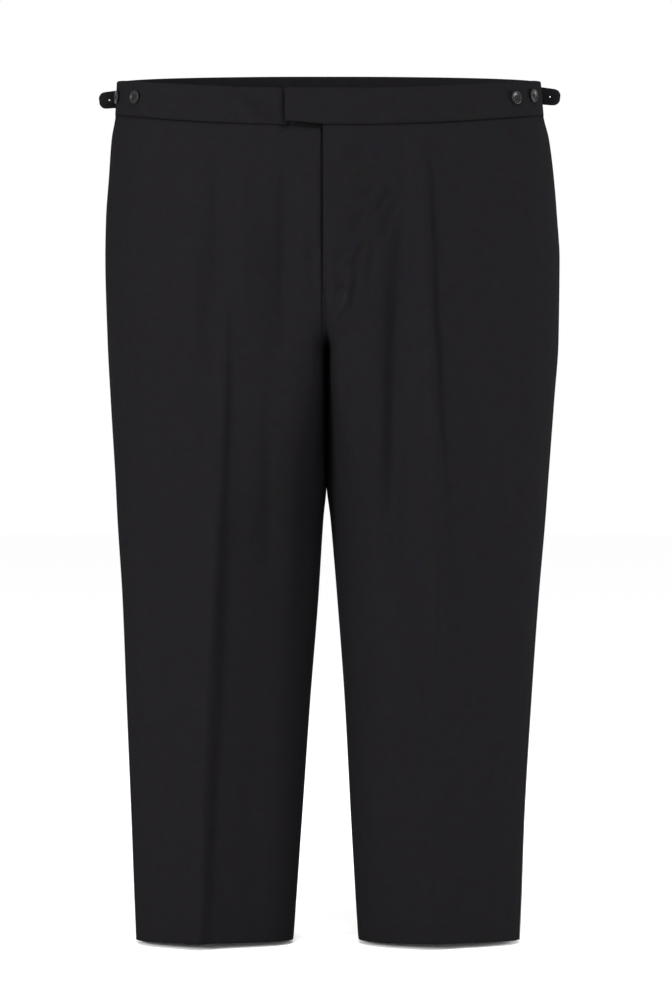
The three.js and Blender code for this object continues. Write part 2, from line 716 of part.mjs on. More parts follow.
// Middle line of an adjuster tab at a share of its length: it is sewn flat to its seat behind the
// side seam, and springs away from there on a growing angle.
function tabLine({ point, out, along }, share, length) {
  const angleAt = (s) => TAB_LAST_ANGLE * Math.max(0, (s - TAB_SEWN_SHARE) / (1 - TAB_SEWN_SHARE));
  const steps = 20;
  const step = (share * length) / steps;
  const centre = point.clone();
  for (let i = 0; i < steps; i += 1) {
    const angle = angleAt((share * (i + 0.5)) / steps);
    centre.addScaledVector(along, Math.cos(angle) * step).addScaledVector(out, Math.sin(angle) * step);
  }
  const angle = angleAt(share);
  const faces = out.clone().multiplyScalar(Math.cos(angle)).addScaledVector(along, -Math.sin(angle));
  return { centre, faces };
}

// An adjuster tab with a round end and the eye of its buttonhole.
function adjusterTab(side, band) {
  const word = side < 0 ? "right" : "left";
  const height = TAB_HEIGHTS[word];
  const length = TAB_LENGTHS[word];
  const seat = seatOnBand(band, side, 1, TAB_ACROSS, height);
  const up = new THREE.Vector3().crossVectors(seat.out, seat.along).normalize();
  up.multiplyScalar(Math.sign(up.z));
  const lines = TAB_OUTLINE.map(({ along, half }) => ({ ...tabLine(seat, along, length), half }));
  const face = (stand) =>
    TAB_WIDTH_SHARES.map((share) =>
      lines.map(({ centre, faces, half }) =>
        centre.clone().addScaledVector(faces, stand).addScaledVector(up, share * half),
      ),
    );
  const body = shell(face(SEAM_GAP + TAB_THICKNESS), face(SEAM_GAP));
  const { centre, faces } = tabLine(seat, 1 - TAB_KEYHOLE_FROM_TIP / length, length);
  const eye = peg(TAB_KEYHOLE_RADIUS);
  eye.applyQuaternion(new THREE.Quaternion().setFromUnitVectors(new THREE.Vector3(0, 0, 1), faces));
  eye.translate(centre.x, centre.y, centre.z);
  return cut(body, [eye]);
}

const wool = new THREE.MeshStandardMaterial({ name: "wool", color: 0x232124, roughness: 0.9 });
const satin = new THREE.MeshStandardMaterial({ name: "satin_braid", color: 0x2a282b, roughness: 0.5 });
const horn = new THREE.MeshStandardMaterial({ name: "button_resin", color: 0x3a383a, roughness: 0.35 });

const group = new THREE.Group();
group.name = "dress_trousers";

function add(name, geometry, material) {
  const mesh = new THREE.Mesh(geometry, material);
  mesh.name = name;
  group.add(mesh);
}

for (const side of [-1, 1]) {
  const word = side < 0 ? "right" : "left";
  const grid = halfGrid(side);
  const band = bandGrid(side);
  add(`front_${word}`, frontLeg(side, grid), wool);
  add(`back_${word}`, backLeg(side, grid), wool);
  add(`waistband_${word}`, waistband(band), wool);
  add(`stripe_${word}`, sideBraid(grid), satin);
  add(`adjuster_${word}`, adjusterTab(side, band), wool);
  for (const place of BUTTON_PLACES.filter((button) => button.side === side)) {
    add(`button_${place.name}`, buttonAt(place, band), horn);
  }
}

export default group;
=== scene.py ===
"""Dress trousers with side adjusters and braid down the side seams, filled out as if worn.

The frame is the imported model: metres, +Z up, the front faces -Y and +X is the wearer's left. The
tables and shape functions below are in millimetres, and meshes are made in metres.
"""

import math

import bpy
import numpy as np
from bpy.props import FloatProperty, FloatVectorProperty, PointerProperty
from mathutils import Matrix, Vector


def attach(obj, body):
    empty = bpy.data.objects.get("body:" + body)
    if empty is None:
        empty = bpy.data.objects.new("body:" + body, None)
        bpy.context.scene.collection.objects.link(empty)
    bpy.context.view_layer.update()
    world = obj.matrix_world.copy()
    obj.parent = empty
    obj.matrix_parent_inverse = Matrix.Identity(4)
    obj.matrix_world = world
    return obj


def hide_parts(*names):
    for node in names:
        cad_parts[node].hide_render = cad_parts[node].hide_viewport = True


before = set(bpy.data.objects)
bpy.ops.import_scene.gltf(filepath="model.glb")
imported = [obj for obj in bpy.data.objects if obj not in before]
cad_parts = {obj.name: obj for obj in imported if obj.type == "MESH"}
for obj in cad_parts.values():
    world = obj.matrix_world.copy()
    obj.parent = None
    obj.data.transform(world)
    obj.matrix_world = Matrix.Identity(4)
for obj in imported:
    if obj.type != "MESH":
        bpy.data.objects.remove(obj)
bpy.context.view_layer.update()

bl_info = {
    "name": "Dress Trousers",
    "version": (1, 0, 0),
    "blender": (4, 5, 0),
    "location": "View3D > Sidebar > Trousers",
    "description": "Builds dress trousers with a waistband, side adjusters and braid",
    "category": "Add Mesh",
}

MM = 0.001

# The clearance that stands for a seam, how far from the middle plane the cloth is drawn in to shut it,
# and how far the waistband stands proud of the legs.
SEAM_GAP = 0.3
SEAM_FADE = 4
BAND_PROUD = 1.4

# Heights of the main lines, and the depth of the crotch point.
BAND_TOP = 20
BAND_BOTTOM = -20
HEM = -982
CROTCH_HEIGHT = -297
CROTCH_DEPTH = 20
THIGHS_PART = -520
FRONT_MERGE = (-292, -246)
BACK_MERGE = (-285, -175)

# The waist rises to the back, dips to the front, and the fly and band lap to the wearer's right.
BACK_RISE = 0.224
FRONT_LEAN = 0.06
FRONT_DIP = 0.0013
WAIST_TILT_END = -200
HEM_RISE = 0.07
HEM_RISE_START = -922
FLY_LAP = 3.5
FLY_SEAM_START = -245
FLY_END = -220
FLY_LIFT_END = -262
FLY_LIFT = 1.9
FLY_TOP_LIFT = 3.3
FLY_TOP_LIFT_START = -35
FLY_TOP_LIFT_END = -70
BAND_LAP = 45
BAND_UNDERLAP = 12
BAND_LIFT = 3.5
BAND_END_RISE = 4
BAND_DIP = 3.5
BAND_DIP_WIDTH = 60
BAND_DIP_START = -21
BAND_DIP_END = -72
LIFT_FULL = 17
LIFT_GONE = 45

# The foot of the right band falls in under the left band's end, and leaves a shaded slot there: its
# depth, the heights where it starts and is full, and where it ends across.
BAND_HOLLOW = 9
BAND_HOLLOW_TOP = -6
BAND_HOLLOW_FULL = -14
BAND_HOLLOW_ACROSS = (41, 47)

# Side adjusters.
BUTTON_PLACES = (
    {"name": "right_front", "side": -1, "across": 217, "height": 1.6},
    {"name": "right_side", "side": -1, "across": 240, "height": 1},
    {"name": "left_front", "side": 1, "across": 215, "height": 1.4},
    {"name": "left_side", "side": 1, "across": 236, "height": 2.6},
)
TAB_LENGTHS = {-1: 44, 1: 51}
TAB_ACROSS = 232
TAB_SEWN_SHARE = 0.18
TAB_LAST_ANGLE = 1.2
TAB_KEYHOLE_FROM_TIP = 12
TAB_HEIGHTS = {-1: -1, 1: 3}
TAB_OUTLINE = (
    (0, 10.4), (0.5, 10.2), (0.8, 9.8), (0.88, 9.5), (0.93, 8.7), (0.96, 7.7), (0.98, 6.6), (1, 5),
)

# Outline from the front: outer edges and inseams of the wearer's right and left leg.
OUTLINE = {
    "z": (20, -20, -47, -93, -140, -187, -281, -351, -445, -491, -585, -702, -842, -936, -982),
    "outer_right": (243.5, 245.5, 250, 253.5, 257, 258, 255.6, 252, 246.3, 244, 238, 233.4, 227.6, 224, 222),
    "outer_left": (249, 252.5, 259, 265, 269, 272, 271, 266, 259, 255.6, 247.5, 239.3, 231, 227.6, 225.5),
    "inner_right": (0.15, 0.15, 0.15, 0.15, 0.15, 0.15, 0.15, 0.15, 0.2, 4, 10, 19.3, 29, 35.7, 39),
    "inner_left": (0.15, 0.15, 0.15, 0.15, 0.15, 0.15, 0.15, 0.15, 0.2, 5, 13, 21.6, 29, 34.5, 37.5),
}

# Depths of the creases and the side seam, to the front (minus) and to the back.
DEPTHS = {
    "z": (20, -20, -110, -180, -235, -297, -351, -445, -585, -702, -842, -982),
    "front_crease": (-108, -114, -121, -121, -118, -115, -110, -98, -80, -70, -63, -59),
    "seam": (0, 0, 4, 7, 9, 10, 10, 9, 7, 6, 5, 4),
    "back_crease": (108, 114, 128, 136, 135, 124, 115, 101, 85, 77, 71, 66),
}

# Depths of the centre front and centre back where the two thighs have merged.
MIDDLE_DEPTHS = {
    "z": (20, -20, -110, -180, -235, -297, -330),
    "front": (-118, -124, -129, -125, -119.5, -114, -114),
    "back": (118, 123, 136, 143, 142, 134, 132),
}

# Depth of the inseam below the crotch.
INSEAM = {"z": (-297, -445, -700, -982), "depth": (CROTCH_DEPTH, 12, 6, 4)}

# How far each thigh would reach past the middle plane, if the other one were not there.
REACHES = {
    "z": (-175, -226, -245, -262, -275, -285, -292, -297),
    "front": (100, 70, 40, 22, 10, 4, 1.2, 0),
    "back": (110, 62, 38, 22, 11, 5, 1.5, 0),
}

# Creases: distance from the middle plane, and the slope of the cloth on each side of the ridge.
CREASES = {
    "z": (20, -60, -190, -300, -445, -585, -780, -982),
    "right": (112, 113, 114, 115, 123, 130, 140, 145),
    "left": (112, 113, 115, 117, 122, 124, 123, 123),
    "ridge_right": (0, 0, 0.02, 0.04, 0.24, 0.38, 0.48, 0.52),
    "ridge_left": (0, 0.08, 0.12, 0.12, 0.18, 0.32, 0.46, 0.5),
    "lean": (0.2, 0.14, 0.08, 0.02, 0, 0, 0, 0),
}

# Soft folds: side, face, top, bottom, distance across at the top and bottom, width and depth inwards.
FOLDS = (
    (-1, -1, -90, -350, 54, 56, 13, 3.2),
    (-1, -1, -50, -400, 128, 142, 11, 2.6),
    (1, -1, -60, -640, 76, 80, 12, 3.2),
    (-1, 1, -170, -520, 60, 84, 14, 4),
    (-1, 1, -230, -610, 168, 160, 13, 3.2),
    (1, 1, -190, -560, 70, 90, 15, 4),
    (1, 1, -250, -500, 176, 170, 12, 2.8),
)

# Finer wrinkles: side, face, distance across and height of both ends, width, depth, and how far one
# side is drawn out, towards the middle if above zero. A negative depth is a ridge. They are uneven,
# as on the real cloth.
WRINKLES = (
    # Wearer's right front: drapes from the waist, the pressed crease, and pulls at the fly.
    (-1, -1, 121, -40, 124, -330, 8, 2.0, 0.5),
    (-1, -1, 44, -60, 48, -310, 8, 2.1, 0.3),
    (-1, -1, 150, -120, 147, -420, 12, -1.2, 0),
    (-1, -1, 96, -90, 92, -300, 14, -1.3, 0),
    (-1, -1, 184, -90, 188, -300, 12, 1.0, 0),
    (-1, -1, 5, -196, 22, -176, 3, 0.8, 0.5),
    (-1, -1, 4, -212, 24, -186, 3, 0.9, -0.5),
    (-1, -1, 6, -228, 20, -202, 2.8, 0.8, 0.5),
    (-1, -1, 5, -246, 16, -226, 2.8, 0.7, 0.3),
    (-1, -1, 186, -470, 196, -700, 16, 1.6, 0.3),
    (-1, -1, 112, -230, 117, -430, 6, -1.3, -0.9),
    (-1, -1, 115, -330, 130, -660, 7, -1.4, -0.9),
    (-1, -1, 124, -480, 147, -1080, 7, -1.2, -0.8),
    (-1, -1, 104, -230, 108, -470, 6, 1.0, 0.9),
    (-1, -1, 106, -340, 118, -760, 6, 1.0, 0.9),
    (-1, -1, 113, -560, 136, -1060, 6, 0.9, 0.9),
    (-1, -1, 36, -330, 66, -1080, 24, -1.7, 0),
    (-1, -1, 28, -330, 44, -620, 12, -1.0, 0),
    (-1, -1, 64, -340, 66, -560, 9, 1.1, 0),
    (-1, -1, 16, -290, 40, -420, 8, 0.5, 0.3),
    (-1, -1, 46.6, 34, 46.2, -34, 1.7, 1.6, -0.6),
    # The waistband's pulls beside the fly, and the hollow below its end.
    (-1, -1, 108, 20, 40, -16, 5, 2.4, 0.4),
    (-1, -1, 92, 4, 36, -26, 4, 1.8, 0.3),
    (-1, -1, 130, 12, 84, -20, 5, 1.0, 0),
    (-1, -1, 12, -30, 10, -250, 4, -0.5, 0),
    (-1, -1, 262, -21, 30, -21, 2.6, 0.7, 0),
    # Wearer's left front: the long fold, the trough beside it, and pulls at the fly.
    (1, -1, 109, -10, 112, -220, 4.5, -1.9, 1.0),
    (1, -1, 111, -130, 121, -350, 5, -2.2, 0.9),
    (1, -1, 119, -270, 129, -480, 5, -2.0, 0.8),
    (1, -1, 126, -400, 138, -660, 6, -1.5, 0.7),
    (1, -1, 116, -20, 120, -280, 4, 1.5, -1.0),
    (1, -1, 120, -180, 132, -440, 4.5, 1.6, -1.0),
    (1, -1, 128, -350, 144, -660, 5, 1.2, -1.0),
    (1, -1, -10, -21, 270, -21, 2.6, 0.7, 0),
    (1, -1, 90, -110, 80, -310, 10, 2.0, -0.4),
    (1, -1, 80, -230, 75, -500, 11, 2.9, -0.3),
    (1, -1, 75, -400, 77, -660, 12, 1.8, 0.2),
    (1, -1, 98, -60, 101, -240, 7, -1.0, 0),
    (1, -1, 24, -52, 62, -40, 3.2, 0.6, 0.5),
    (1, -1, 20, -68, 48, -62, 3, 0.5, -0.4),
    (1, -1, 30, -84, 70, -66, 3.4, 0.6, 0.4),
    (1, -1, 8, -104, 40, -92, 3, 0.5, 0.3),
    (1, -1, 34, -128, 60, -92, 3.4, 0.7, -0.4),
    (1, -1, 52, -150, 76, -96, 3.6, 0.9, 0.5),
    (1, -1, 62, -180, 86, -108, 4, 0.9, -0.5),
    (1, -1, 20, -176, 46, -140, 3.2, 0.6, 0.4),
    (1, -1, 26, -214, 44, -176, 3, 0.8, 0.6),
    (1, -1, 10, -206, 30, -182, 2.8, 0.6, -0.5),
    (1, -1, 27, -262, 36, -204, 3, 1.1, 0.7),
    (1, -1, 8, -266, 26, -240, 3, -0.7, 0),
    (1, -1, 6, -240, 24, -222, 3, 0.7, 0.3),
    (1, -1, 46, -240, 54, -170, 4, 0.8, 0.3),
    (1, -1, 98, -540, 108, -860, 9, 1.8, 0.3),
    (1, -1, 48, -430, 76, -1080, 24, -1.6, 0),
    (1, -1, 150, -200, 158, -420, 22, -1.2, 0),
    (1, -1, 208, -60, 190, -170, 8, 0.9, 0.4),
    (1, -1, 178, -100, 184, -330, 12, 1.0, 0),
    (1, -1, 18, -290, 44, -430, 8, 1.0, -0.3),
    (1, -1, 200, -420, 186, -660, 14, 1.3, 0),
    # The groove where the thighs start to press together.
    (-1, -1, 0, -180, 0, -345, 3.4, 1.5, 0),
    (1, -1, 0, -180, 0, -345, 3.4, 1.5, 0),
    # Hidden sides: soft drapes under the seat and behind the knees, of the same kinds.
    (-1, 1, 30, -262, 120, -318, 12, 1.7, 0.3),
    (1, 1, 26, -258, 128, -326, 13, 1.9, -0.2),
    (-1, 1, 60, -300, 150, -342, 9, 1.0, 0.4),
    (1, 1, 58, -296, 160, -350, 9, 1.1, 0.4),
    (-1, 1, 90, -590, 160, -622, 12, 1.3, 0.2),
    (1, 1, 84, -602, 150, -584, 11, 1.2, -0.2),
    (-1, 1, 110, -80, 112, -190, 14, 1.2, 0),
    (1, 1, 106, -76, 112, -200, 14, 1.3, 0),
    (-1, 1, 140, -360, 126, -600, 9, 1.4, 0.3),
    (1, 1, 146, -350, 130, -590, 9, 1.5, -0.3),
    (-1, 1, 40, -340, 60, -560, 11, 1.2, 0),
    (1, 1, 44, -350, 58, -580, 11, 1.2, 0),
)
# The line of the fly, down the right front beside the lap.
FLY_GROOVE = (-1, -1, 4.4, 80, 3.8, -330, 1.5, 1.3, 0)
WRINKLE_DEPTH = 2.5
WRINKLE_FADE = 0.8

# Section through the waistband: share of its thickness from the inside, and height.
BAND_PROFILE = (
    (0, 19.2), (0.16, 19.8), (0.5, 20), (0.84, 19.8), (1, 19.2), (1.03, 14), (1.03, 7), (1.03, 0),
    (1.03, -7), (1.03, -14), (1, -19.2), (0.84, -19.8), (0.5, -20), (0.16, -19.8), (0, -19.2), (0, -7),
    (0, 7),
)
RING_COLUMNS = 190

# Section through a tab: half its width and its thickness are both one.
TAB_PROFILE = (
    (1, 0.5), (0.97, 0.15), (0.9, 0), (0, -0.05), (-0.9, 0), (-0.97, 0.15),
    (-1, 0.5), (-0.97, 0.85), (-0.9, 1), (0, 1.05), (0.9, 1), (0.97, 0.85),
)

# Section of a button of radius one and thickness one, from the back over the rim to the dish.
BUTTON_PROFILE = (
    (0.64, 0), (0.88, 0.17), (0.973, 0.37), (1, 0.6), (0.98, 0.8), (0.933, 0.95), (0.867, 1), (0.8, 0.96),
    (0.733, 0.82), (0.65, 0.72), (0.27, 0.66), (0.05, 0.66),
)
HOLE_SPACING = 1.7
HOLE_RADIUS = 0.9
HOLE_REACH = (-2, 6)
HOLE_SIDES = 16
BUTTON_SIDES = 48
CUT_SHARP_ANGLE = 40

# The button's thread: its radius, how far its strands lie apart, and distance along and height
# above the dish of the points of a strand.
BUTTON_THREAD_RADIUS = 0.32
STRAND_SHIFT = 0.3
STRAND = ((-1, -0.6), (-0.6, 0.3), (0.6, 0.3), (1, -0.6))

# A stitch: share of the way along and height in thread radii.
STITCH = ((0, -1.2), (0.15, 0.4), (0.5, 0.7), (0.85, 0.4), (1, -1.2))

# A bar tack: half its width, its stitches' spacing in thread radii, and its distance from the braid.
TACK_HALF_WIDTH = 0.9
TACK_SPACING = 2.2
BESIDE_BRAID = 2.5

# The tab's keyhole and edge: (distance, height above the tab) of stitches round the eye and across
# the slit, their number and spacing, and the line of stitches along the edge.
EYE_RADIUS = 1
EYE_REACH = (-4, 6)
EYE_SIDES = 20
EYE_STITCH = ((1.0, -0.4), (1.2, 0.1), (2.6, 0.1), (2.7, -0.4))
EYE_STITCHES = 22
EYE_OPEN = -0.9
SLIT_STITCH = ((0.15, -0.3), (0.3, 0.1), (1.7, 0.1), (1.8, -0.4))
SLIT_STITCHES = 18
SLIT_START = 1.7
SLIT_SPACING = 0.62
EDGE_STITCH_LENGTH = 1.2
EDGE_INSET = 1.9
EDGE_LEAST = 0.6
EDGE_START_SHARE = 0.3

# A tab's rows, closer together at its rounded tip, and steps of its middle line.
TAB_ROWS = ((0, 0.8, 17), (0.83, 1, 9))
TAB_STEPS = 24

# Samples of a section where a seat is looked for, and the clearance under what sits there.
SEAT_SAMPLES = 600
SEAT_CLEARANCE = 0.1

# Lines of stitches, each as side and (distance across, height) pairs down a front: the fly's line
# turns in to the seam at its foot.
STITCH_LINES = (
    (1, ((24, -205), (21.5, -237), (17, -253), (9, -262), (1, -266))),
)
# Bar tacks: side, distance across or None for the braid's edge, height, length and lean in degrees.
BAR_TACKS = (
    (1, 21, -240, 6, 60),
    (1, None, -131, 6, 90),
    (1, None, -167, 6, 90),
    (1, None, -243, 6, 90),
    (-1, None, -131, 6, 90),
    (-1, None, -243, 6, 90),
)

# Edges sharper than this many degrees show as edges; a sheet's edge bulges by this share of its
# thickness; the floor lies this many metres below the hems.
SHARP_ANGLE = 62
EDGE_BULGE = 0.3
FLOOR_DROP = 0.004
SIDES = ((-1, "right"), (1, "left"))

# Handles of the section curves, as shares of the span that they run along.
TORSO_ACROSS = 0.42
TORSO_INWARD = 0.46
CREASE_OUTWARD = 0.5
SIDE_SEAM = 0.6
THIGH_DEPTH = 0.56
THIGH_INWARD = 0.46
SQUARENESS = 0.88

CURVE_STEPS = 160
HALVINGS = 30

# Rows of the legs: the step down from each height, closer together at the crotch.
ROW_STEPS = ((-282, 3.2), (-304, 1.6), (-330, 3.2), (-math.inf, 6))

# Columns: steps back from the crease to the centre or inseam, and out to the side seam; they are
# closer together beside the crease.
INWARD_STEP = 2.5
INWARD_STEPS = 42
WALL_COLUMNS = 22
OUTWARD_STEPS = 24
OUTWARD_COLUMNS = 26
LAP_COLUMNS = 3

# The lap of the fly: its least width, and the spacing of its columns where it has ended.
LAP_LEAST = 0.03
LAP_SPACING = 0.01

# Columns of the band's laps, from their ends to beside the middle plane.
BAND_LAP_COLUMNS = {-1: 6, 1: 20}
BAND_LAP_START = 1.5

# A rounded end: how far its last loop shrinks and stands out.
END_SHRINK = 0.8
END_BULGE = 0.5

# A wave texture at scale 1 has its bands this far apart: straight ones, and diagonal ones measured
# square to them.
STRAIGHT_WAVE = 2 * math.pi / 20
DIAGONAL_WAVE = 2 * math.pi / (10 * math.sqrt(2))

# Lamps of the stage: name, place, width in metres and power in watts.
LAMPS = (
    ("key light from the left", (-2.2, -2.2, 0.1), 0.9, 112),
    ("fill light from the right", (1.2, -3.2, 0.1), 1.6, 44),
    ("edge light from the right", (2.9, 0.1, -0.3), 1.0, 85),
    ("top light", (0.1, -1.5, 2.6), 1.4, 75),
)
WORLD_STRENGTH = 1.0
LAMP_TARGET = (0, 0, -0.5)
CAMERA_PLACE = (0.0111, -3.0, -0.473)
CAMERA_LENS = 91.6
FLOOR_SIZE = 40


def linear(hex_colour):
    """An sRGB hex colour as linear RGBA."""
    parts = [int(hex_colour[i : i + 2], 16) / 255 for i in (0, 2, 4)]
    return (*[p / 12.92 if p <= 0.04045 else ((p + 0.055) / 1.055) ** 2.4 for p in parts], 1)


def size_property(name, description, default):
    """A length in metres, shown in the scene's units."""
    return FloatProperty(
        name=name, description=description, default=default, min=0.0, precision=5, unit="LENGTH"
    )


def colour_property(name, description, hex_colour):
    """A colour, given as sRGB hex and kept as linear RGBA."""
    return FloatVectorProperty(
        name=name, description=description, default=linear(hex_colour), min=0, max=1, size=4, subtype="COLOR"
    )


class TrouserSizes(bpy.types.PropertyGroup):
    """Sizes of the cloth layers and trims."""

    cloth_thickness: size_property("Cloth thickness", "Thickness of the wool of the legs", 0.0012)
    band_thickness: size_property("Band thickness", "Thickness of the finished waistband", 0.0032)
    braid_thickness: size_property("Braid thickness", "Thickness of the braid down the side seams", 0.0007)
    braid_width: size_property("Braid width", "Width of the braid down the side seams", 0.022)
    tab_thickness: size_property("Tab thickness", "Thickness of the side adjusters' tabs", 0.002)
    button_width: size_property("Button width", "Diameter of the side adjusters' buttons", 0.015)
    button_thickness: size_property("Button thickness", "Thickness of a button at its rim", 0.003)
    thread_width: size_property("Thread width", "Thickness of the sewing thread", 0.0005)
    stitch_length: size_property("Stitch length", "Length of one stitch of the fly's line", 0.0026)
    stitch_gap: size_property("Stitch gap", "Cloth left between two stitches", 0.0009)


class TrouserColours(bpy.types.PropertyGroup):
    """Colours of the cloth, braid, buttons and thread."""

    # The twill's two tones are painted light and shade: the raised yarns are painted lighter and the shaded
    # yarns darker.
    wool_painted_shade: colour_property("Wool, dark", "Shaded yarns of the twill", "100f11")
    wool_painted_light: colour_property("Wool, light", "Raised yarns of the twill", "171618")
    # The braid's two tones are painted light and shade: its ribs are painted lighter and the grooves between
    # them darker.
    braid_dark: colour_property("Braid, dark", "Grooves between the ribs of the braid", "1b181b")
    braid_light: colour_property("Braid, light", "Ribs of the braid", "292629")
    button_dark: colour_property("Button, dark", "Ground colour of the buttons", "0b0a0b")
    button_light: colour_property("Button, light", "Streaks in the buttons", "171515")
    thread_dark: colour_property("Thread, dark", "Twisted thread, in shade", "0e0d0f")
    thread_light: colour_property("Thread, light", "Twisted thread, in light", "181619")


def in_mm(name):
    """One of the sizes, in millimetres."""
    return getattr(bpy.context.scene.trouser_sizes, name) / MM


def colour(name):
    """One of the colours, as linear RGBA."""
    return tuple(getattr(bpy.context.scene.trouser_colours, name))


def smooth(first, last, value):
    t = np.clip((np.asarray(value, float) - first) / (last - first), 0, 1)
    return t * t * (3 - 2 * t)


def value_at(table, column, z):
    """Smooth value of a column of a table at a height; it never runs past the rows it lies between."""
    heights, values = table["z"], table[column]
    last = len(heights) - 1
    if z >= heights[0]:
        return values[0]
    if z <= heights[last]:
        return values[last]
    after = next(i for i, height in enumerate(heights) if height < z)

    def secant(i):
        return (values[i + 1] - values[i]) / (heights[i + 1] - heights[i])

    def slope(i):
        if i in (0, last):
            return secant(min(i, last - 1))
        before, behind = secant(i - 1), secant(i)
        return 0 if before * behind <= 0 else 2 * before * behind / (before + behind)

    span = heights[after] - heights[after - 1]
    t = (z - heights[after - 1]) / span
    rise = values[after] - values[after - 1]
    first, second = slope(after - 1) * span, slope(after) * span
    bend = (first + second - 2 * rise) * t + (3 * rise - 2 * first - second)
    return values[after - 1] + t * (first + t * bend)


def bezier(controls, t):
    """Points of a Bezier curve at an array of parameters."""
    level = [np.asarray(c, float) + np.zeros((len(t), 2)) for c in controls]
    while len(level) > 1:
        level = [a + (b - a) * t[:, None] for a, b in zip(level, level[1:])]
    return level[0]


def five_points(a, b, c, d):
    """The same cubic curve with five control points."""
    return [a, a + (b - a) * 0.75, (b + c) / 2, c + (d - c) * 0.25, d]


def past_distance(controls, across):
    """Control points of the part of a curve that lies past a distance across."""
    low, high = 0.0, 1.0
    for _ in range(HALVINGS):
        half = (low + high) / 2
        if bezier(controls, np.array([half]))[0][0] < across:
            low = half
        else:
            high = half
    return [bezier(controls[i:], np.array([low]))[0] for i in range(len(controls))]


class Section:
    """One quarter of a level section, from the centre or inseam over the crease to the side seam."""

    def __init__(self, side, z, facing):
        word = "right" if side < 0 else "left"
        face = "front" if facing < 0 else "back"
        outer = value_at(OUTLINE, "outer_" + word, z)
        ridge = math.atan(value_at(CREASES, "ridge_" + word, z))
        lean = value_at(CREASES, "lean", z)
        crease = np.array([value_at(CREASES, word, z), value_at(DEPTHS, face + "_crease", z)])
        seam = np.array([outer, value_at(DEPTHS, "seam", z) + facing * SEAM_GAP / 2])
        after = CREASE_OUTWARD * (outer - crease[0])
        sideways = SIDE_SEAM * abs(crease[1] - seam[1])
        outward = np.array([math.cos(ridge + lean), -facing * math.sin(ridge + lean)])
        inward = np.array([-math.cos(ridge - lean), -facing * math.sin(ridge - lean)])
        handle = seam + np.array([0, facing * sideways])
        self.inner = self.measure(self.inner_controls(word, face, z, facing, crease, inward))
        self.outer = self.measure([crease, crease + outward * after, handle, seam])
        self.crease = self.inner[0][-1]
        self.length = self.crease + self.outer[0][-1]
        self.z = z

    @staticmethod
    def inner_controls(word, face, z, facing, crease, inward):
        inner = value_at(OUTLINE, "inner_" + word, z)
        start_y = value_at(INSEAM, "depth", z) + facing * SEAM_GAP / 2
        start = np.array([inner - value_at(REACHES, face, z), start_y])
        forward = THIGH_DEPTH * abs(crease[1] - start[1])
        span = crease[0] - start[0]
        rounded = five_points(
            start, start + np.array([0, facing * forward]), crease + inward * THIGH_INWARD * span, crease
        )
        corner = np.array([start[0], crease[1]])
        square = [start, corner, corner, corner, crease]
        full = SQUARENESS * float(smooth(THIGHS_PART, CROTCH_HEIGHT, z))
        thigh = past_distance([a + (b - a) * full for a, b in zip(rounded, square)], inner)
        middle = np.array([inner, value_at(MIDDLE_DEPTHS, face, z)])
        width = crease[0] - inner
        handles = middle + np.array([TORSO_ACROSS * width, 0]), crease + inward * TORSO_INWARD * width
        torso = five_points(middle, *handles, crease)
        merge = FRONT_MERGE if facing < 0 else BACK_MERGE
        merged = float(smooth(*merge, z))
        return [a + (b - a) * merged for a, b in zip(thigh, torso)]

    @staticmethod
    def measure(controls):
        points = bezier(controls, np.linspace(0, 1, CURVE_STEPS + 1))
        steps = np.linalg.norm(np.diff(points, axis=0), axis=1)
        return np.concatenate([[0], np.cumsum(steps)]), points

    def at(self, distances):
        """Distance across and depth at distances along the quarter, as an array of pairs."""
        distances = np.asarray(distances, float)
        found = []
        for axis in (0, 1):
            near = np.interp(distances, self.inner[0], self.inner[1][:, axis])
            far = np.interp(distances - self.crease, self.outer[0], self.outer[1][:, axis])
            found.append(np.where(distances <= self.crease, near, far))
        return np.stack(found, axis=1)


def fold_depth(side, facing, across, z):
    """Depth of the soft folds at distances across, at one height."""
    total = np.zeros(len(across))
    for fold_side, face, top, bottom, top_x, bottom_x, width, depth in FOLDS:
        along = (top - z) / (top - bottom)
        if fold_side != side or face != facing or not 0 < along < 1:
            continue
        away = (across - (top_x + (bottom_x - top_x) * along)) / width
        total += depth * math.sin(math.pi * along) * np.exp(-away * away)
    wrinkles = (*WRINKLES, FLY_GROOVE) if z < BAND_BOTTOM else WRINKLES
    for wrinkle_side, face, x0, z0, x1, z1, width, depth, skew in wrinkles:
        if wrinkle_side != side or face != facing:
            continue
        run = np.array([x1 - x0, z1 - z0], float)
        length = np.linalg.norm(run)
        run /= length
        along = np.clip(((across - x0) * run[0] + (z - z0) * run[1]) / length, 0, 1)
        away = ((across - x0) * run[1] - (z - z0) * run[0]) / width
        away /= np.where(away * skew > 0, 1 + 2 * abs(skew), 1)
        total += WRINKLE_DEPTH * depth * np.sin(math.pi * along) ** WRINKLE_FADE * np.exp(-away * away)
    return total


def band_dip(side, distances, z):
    """How much lower the right band and the top of the right front hang beside the fly."""
    if side > 0:
        return 0
    return BAND_DIP * (1 - smooth(0, BAND_DIP_WIDTH, distances)) * smooth(BAND_DIP_END, BAND_DIP_START, z)


def cloth_points(side, facing, section, distances, lift=0, drop=0, folded=True):
    """Points of the garment at distances along a quarter section, in millimetres."""
    flat = section.at(distances)
    z = section.z
    rise = np.where(flat[:, 1] > 0, BACK_RISE, FRONT_LEAN - FRONT_DIP * flat[:, 1]) * flat[:, 1]
    rise *= float(smooth(WAIST_TILT_END, BAND_BOTTOM, z))
    rise += HEM_RISE * np.maximum(0, -flat[:, 1]) * (1 - float(smooth(HEM, HEM_RISE_START, z)))
    fold = fold_depth(side, facing, flat[:, 0], z) if folded else 0
    y = flat[:, 1] - facing * fold - lift
    return np.stack([side * flat[:, 0], y, z - drop + rise], axis=1)


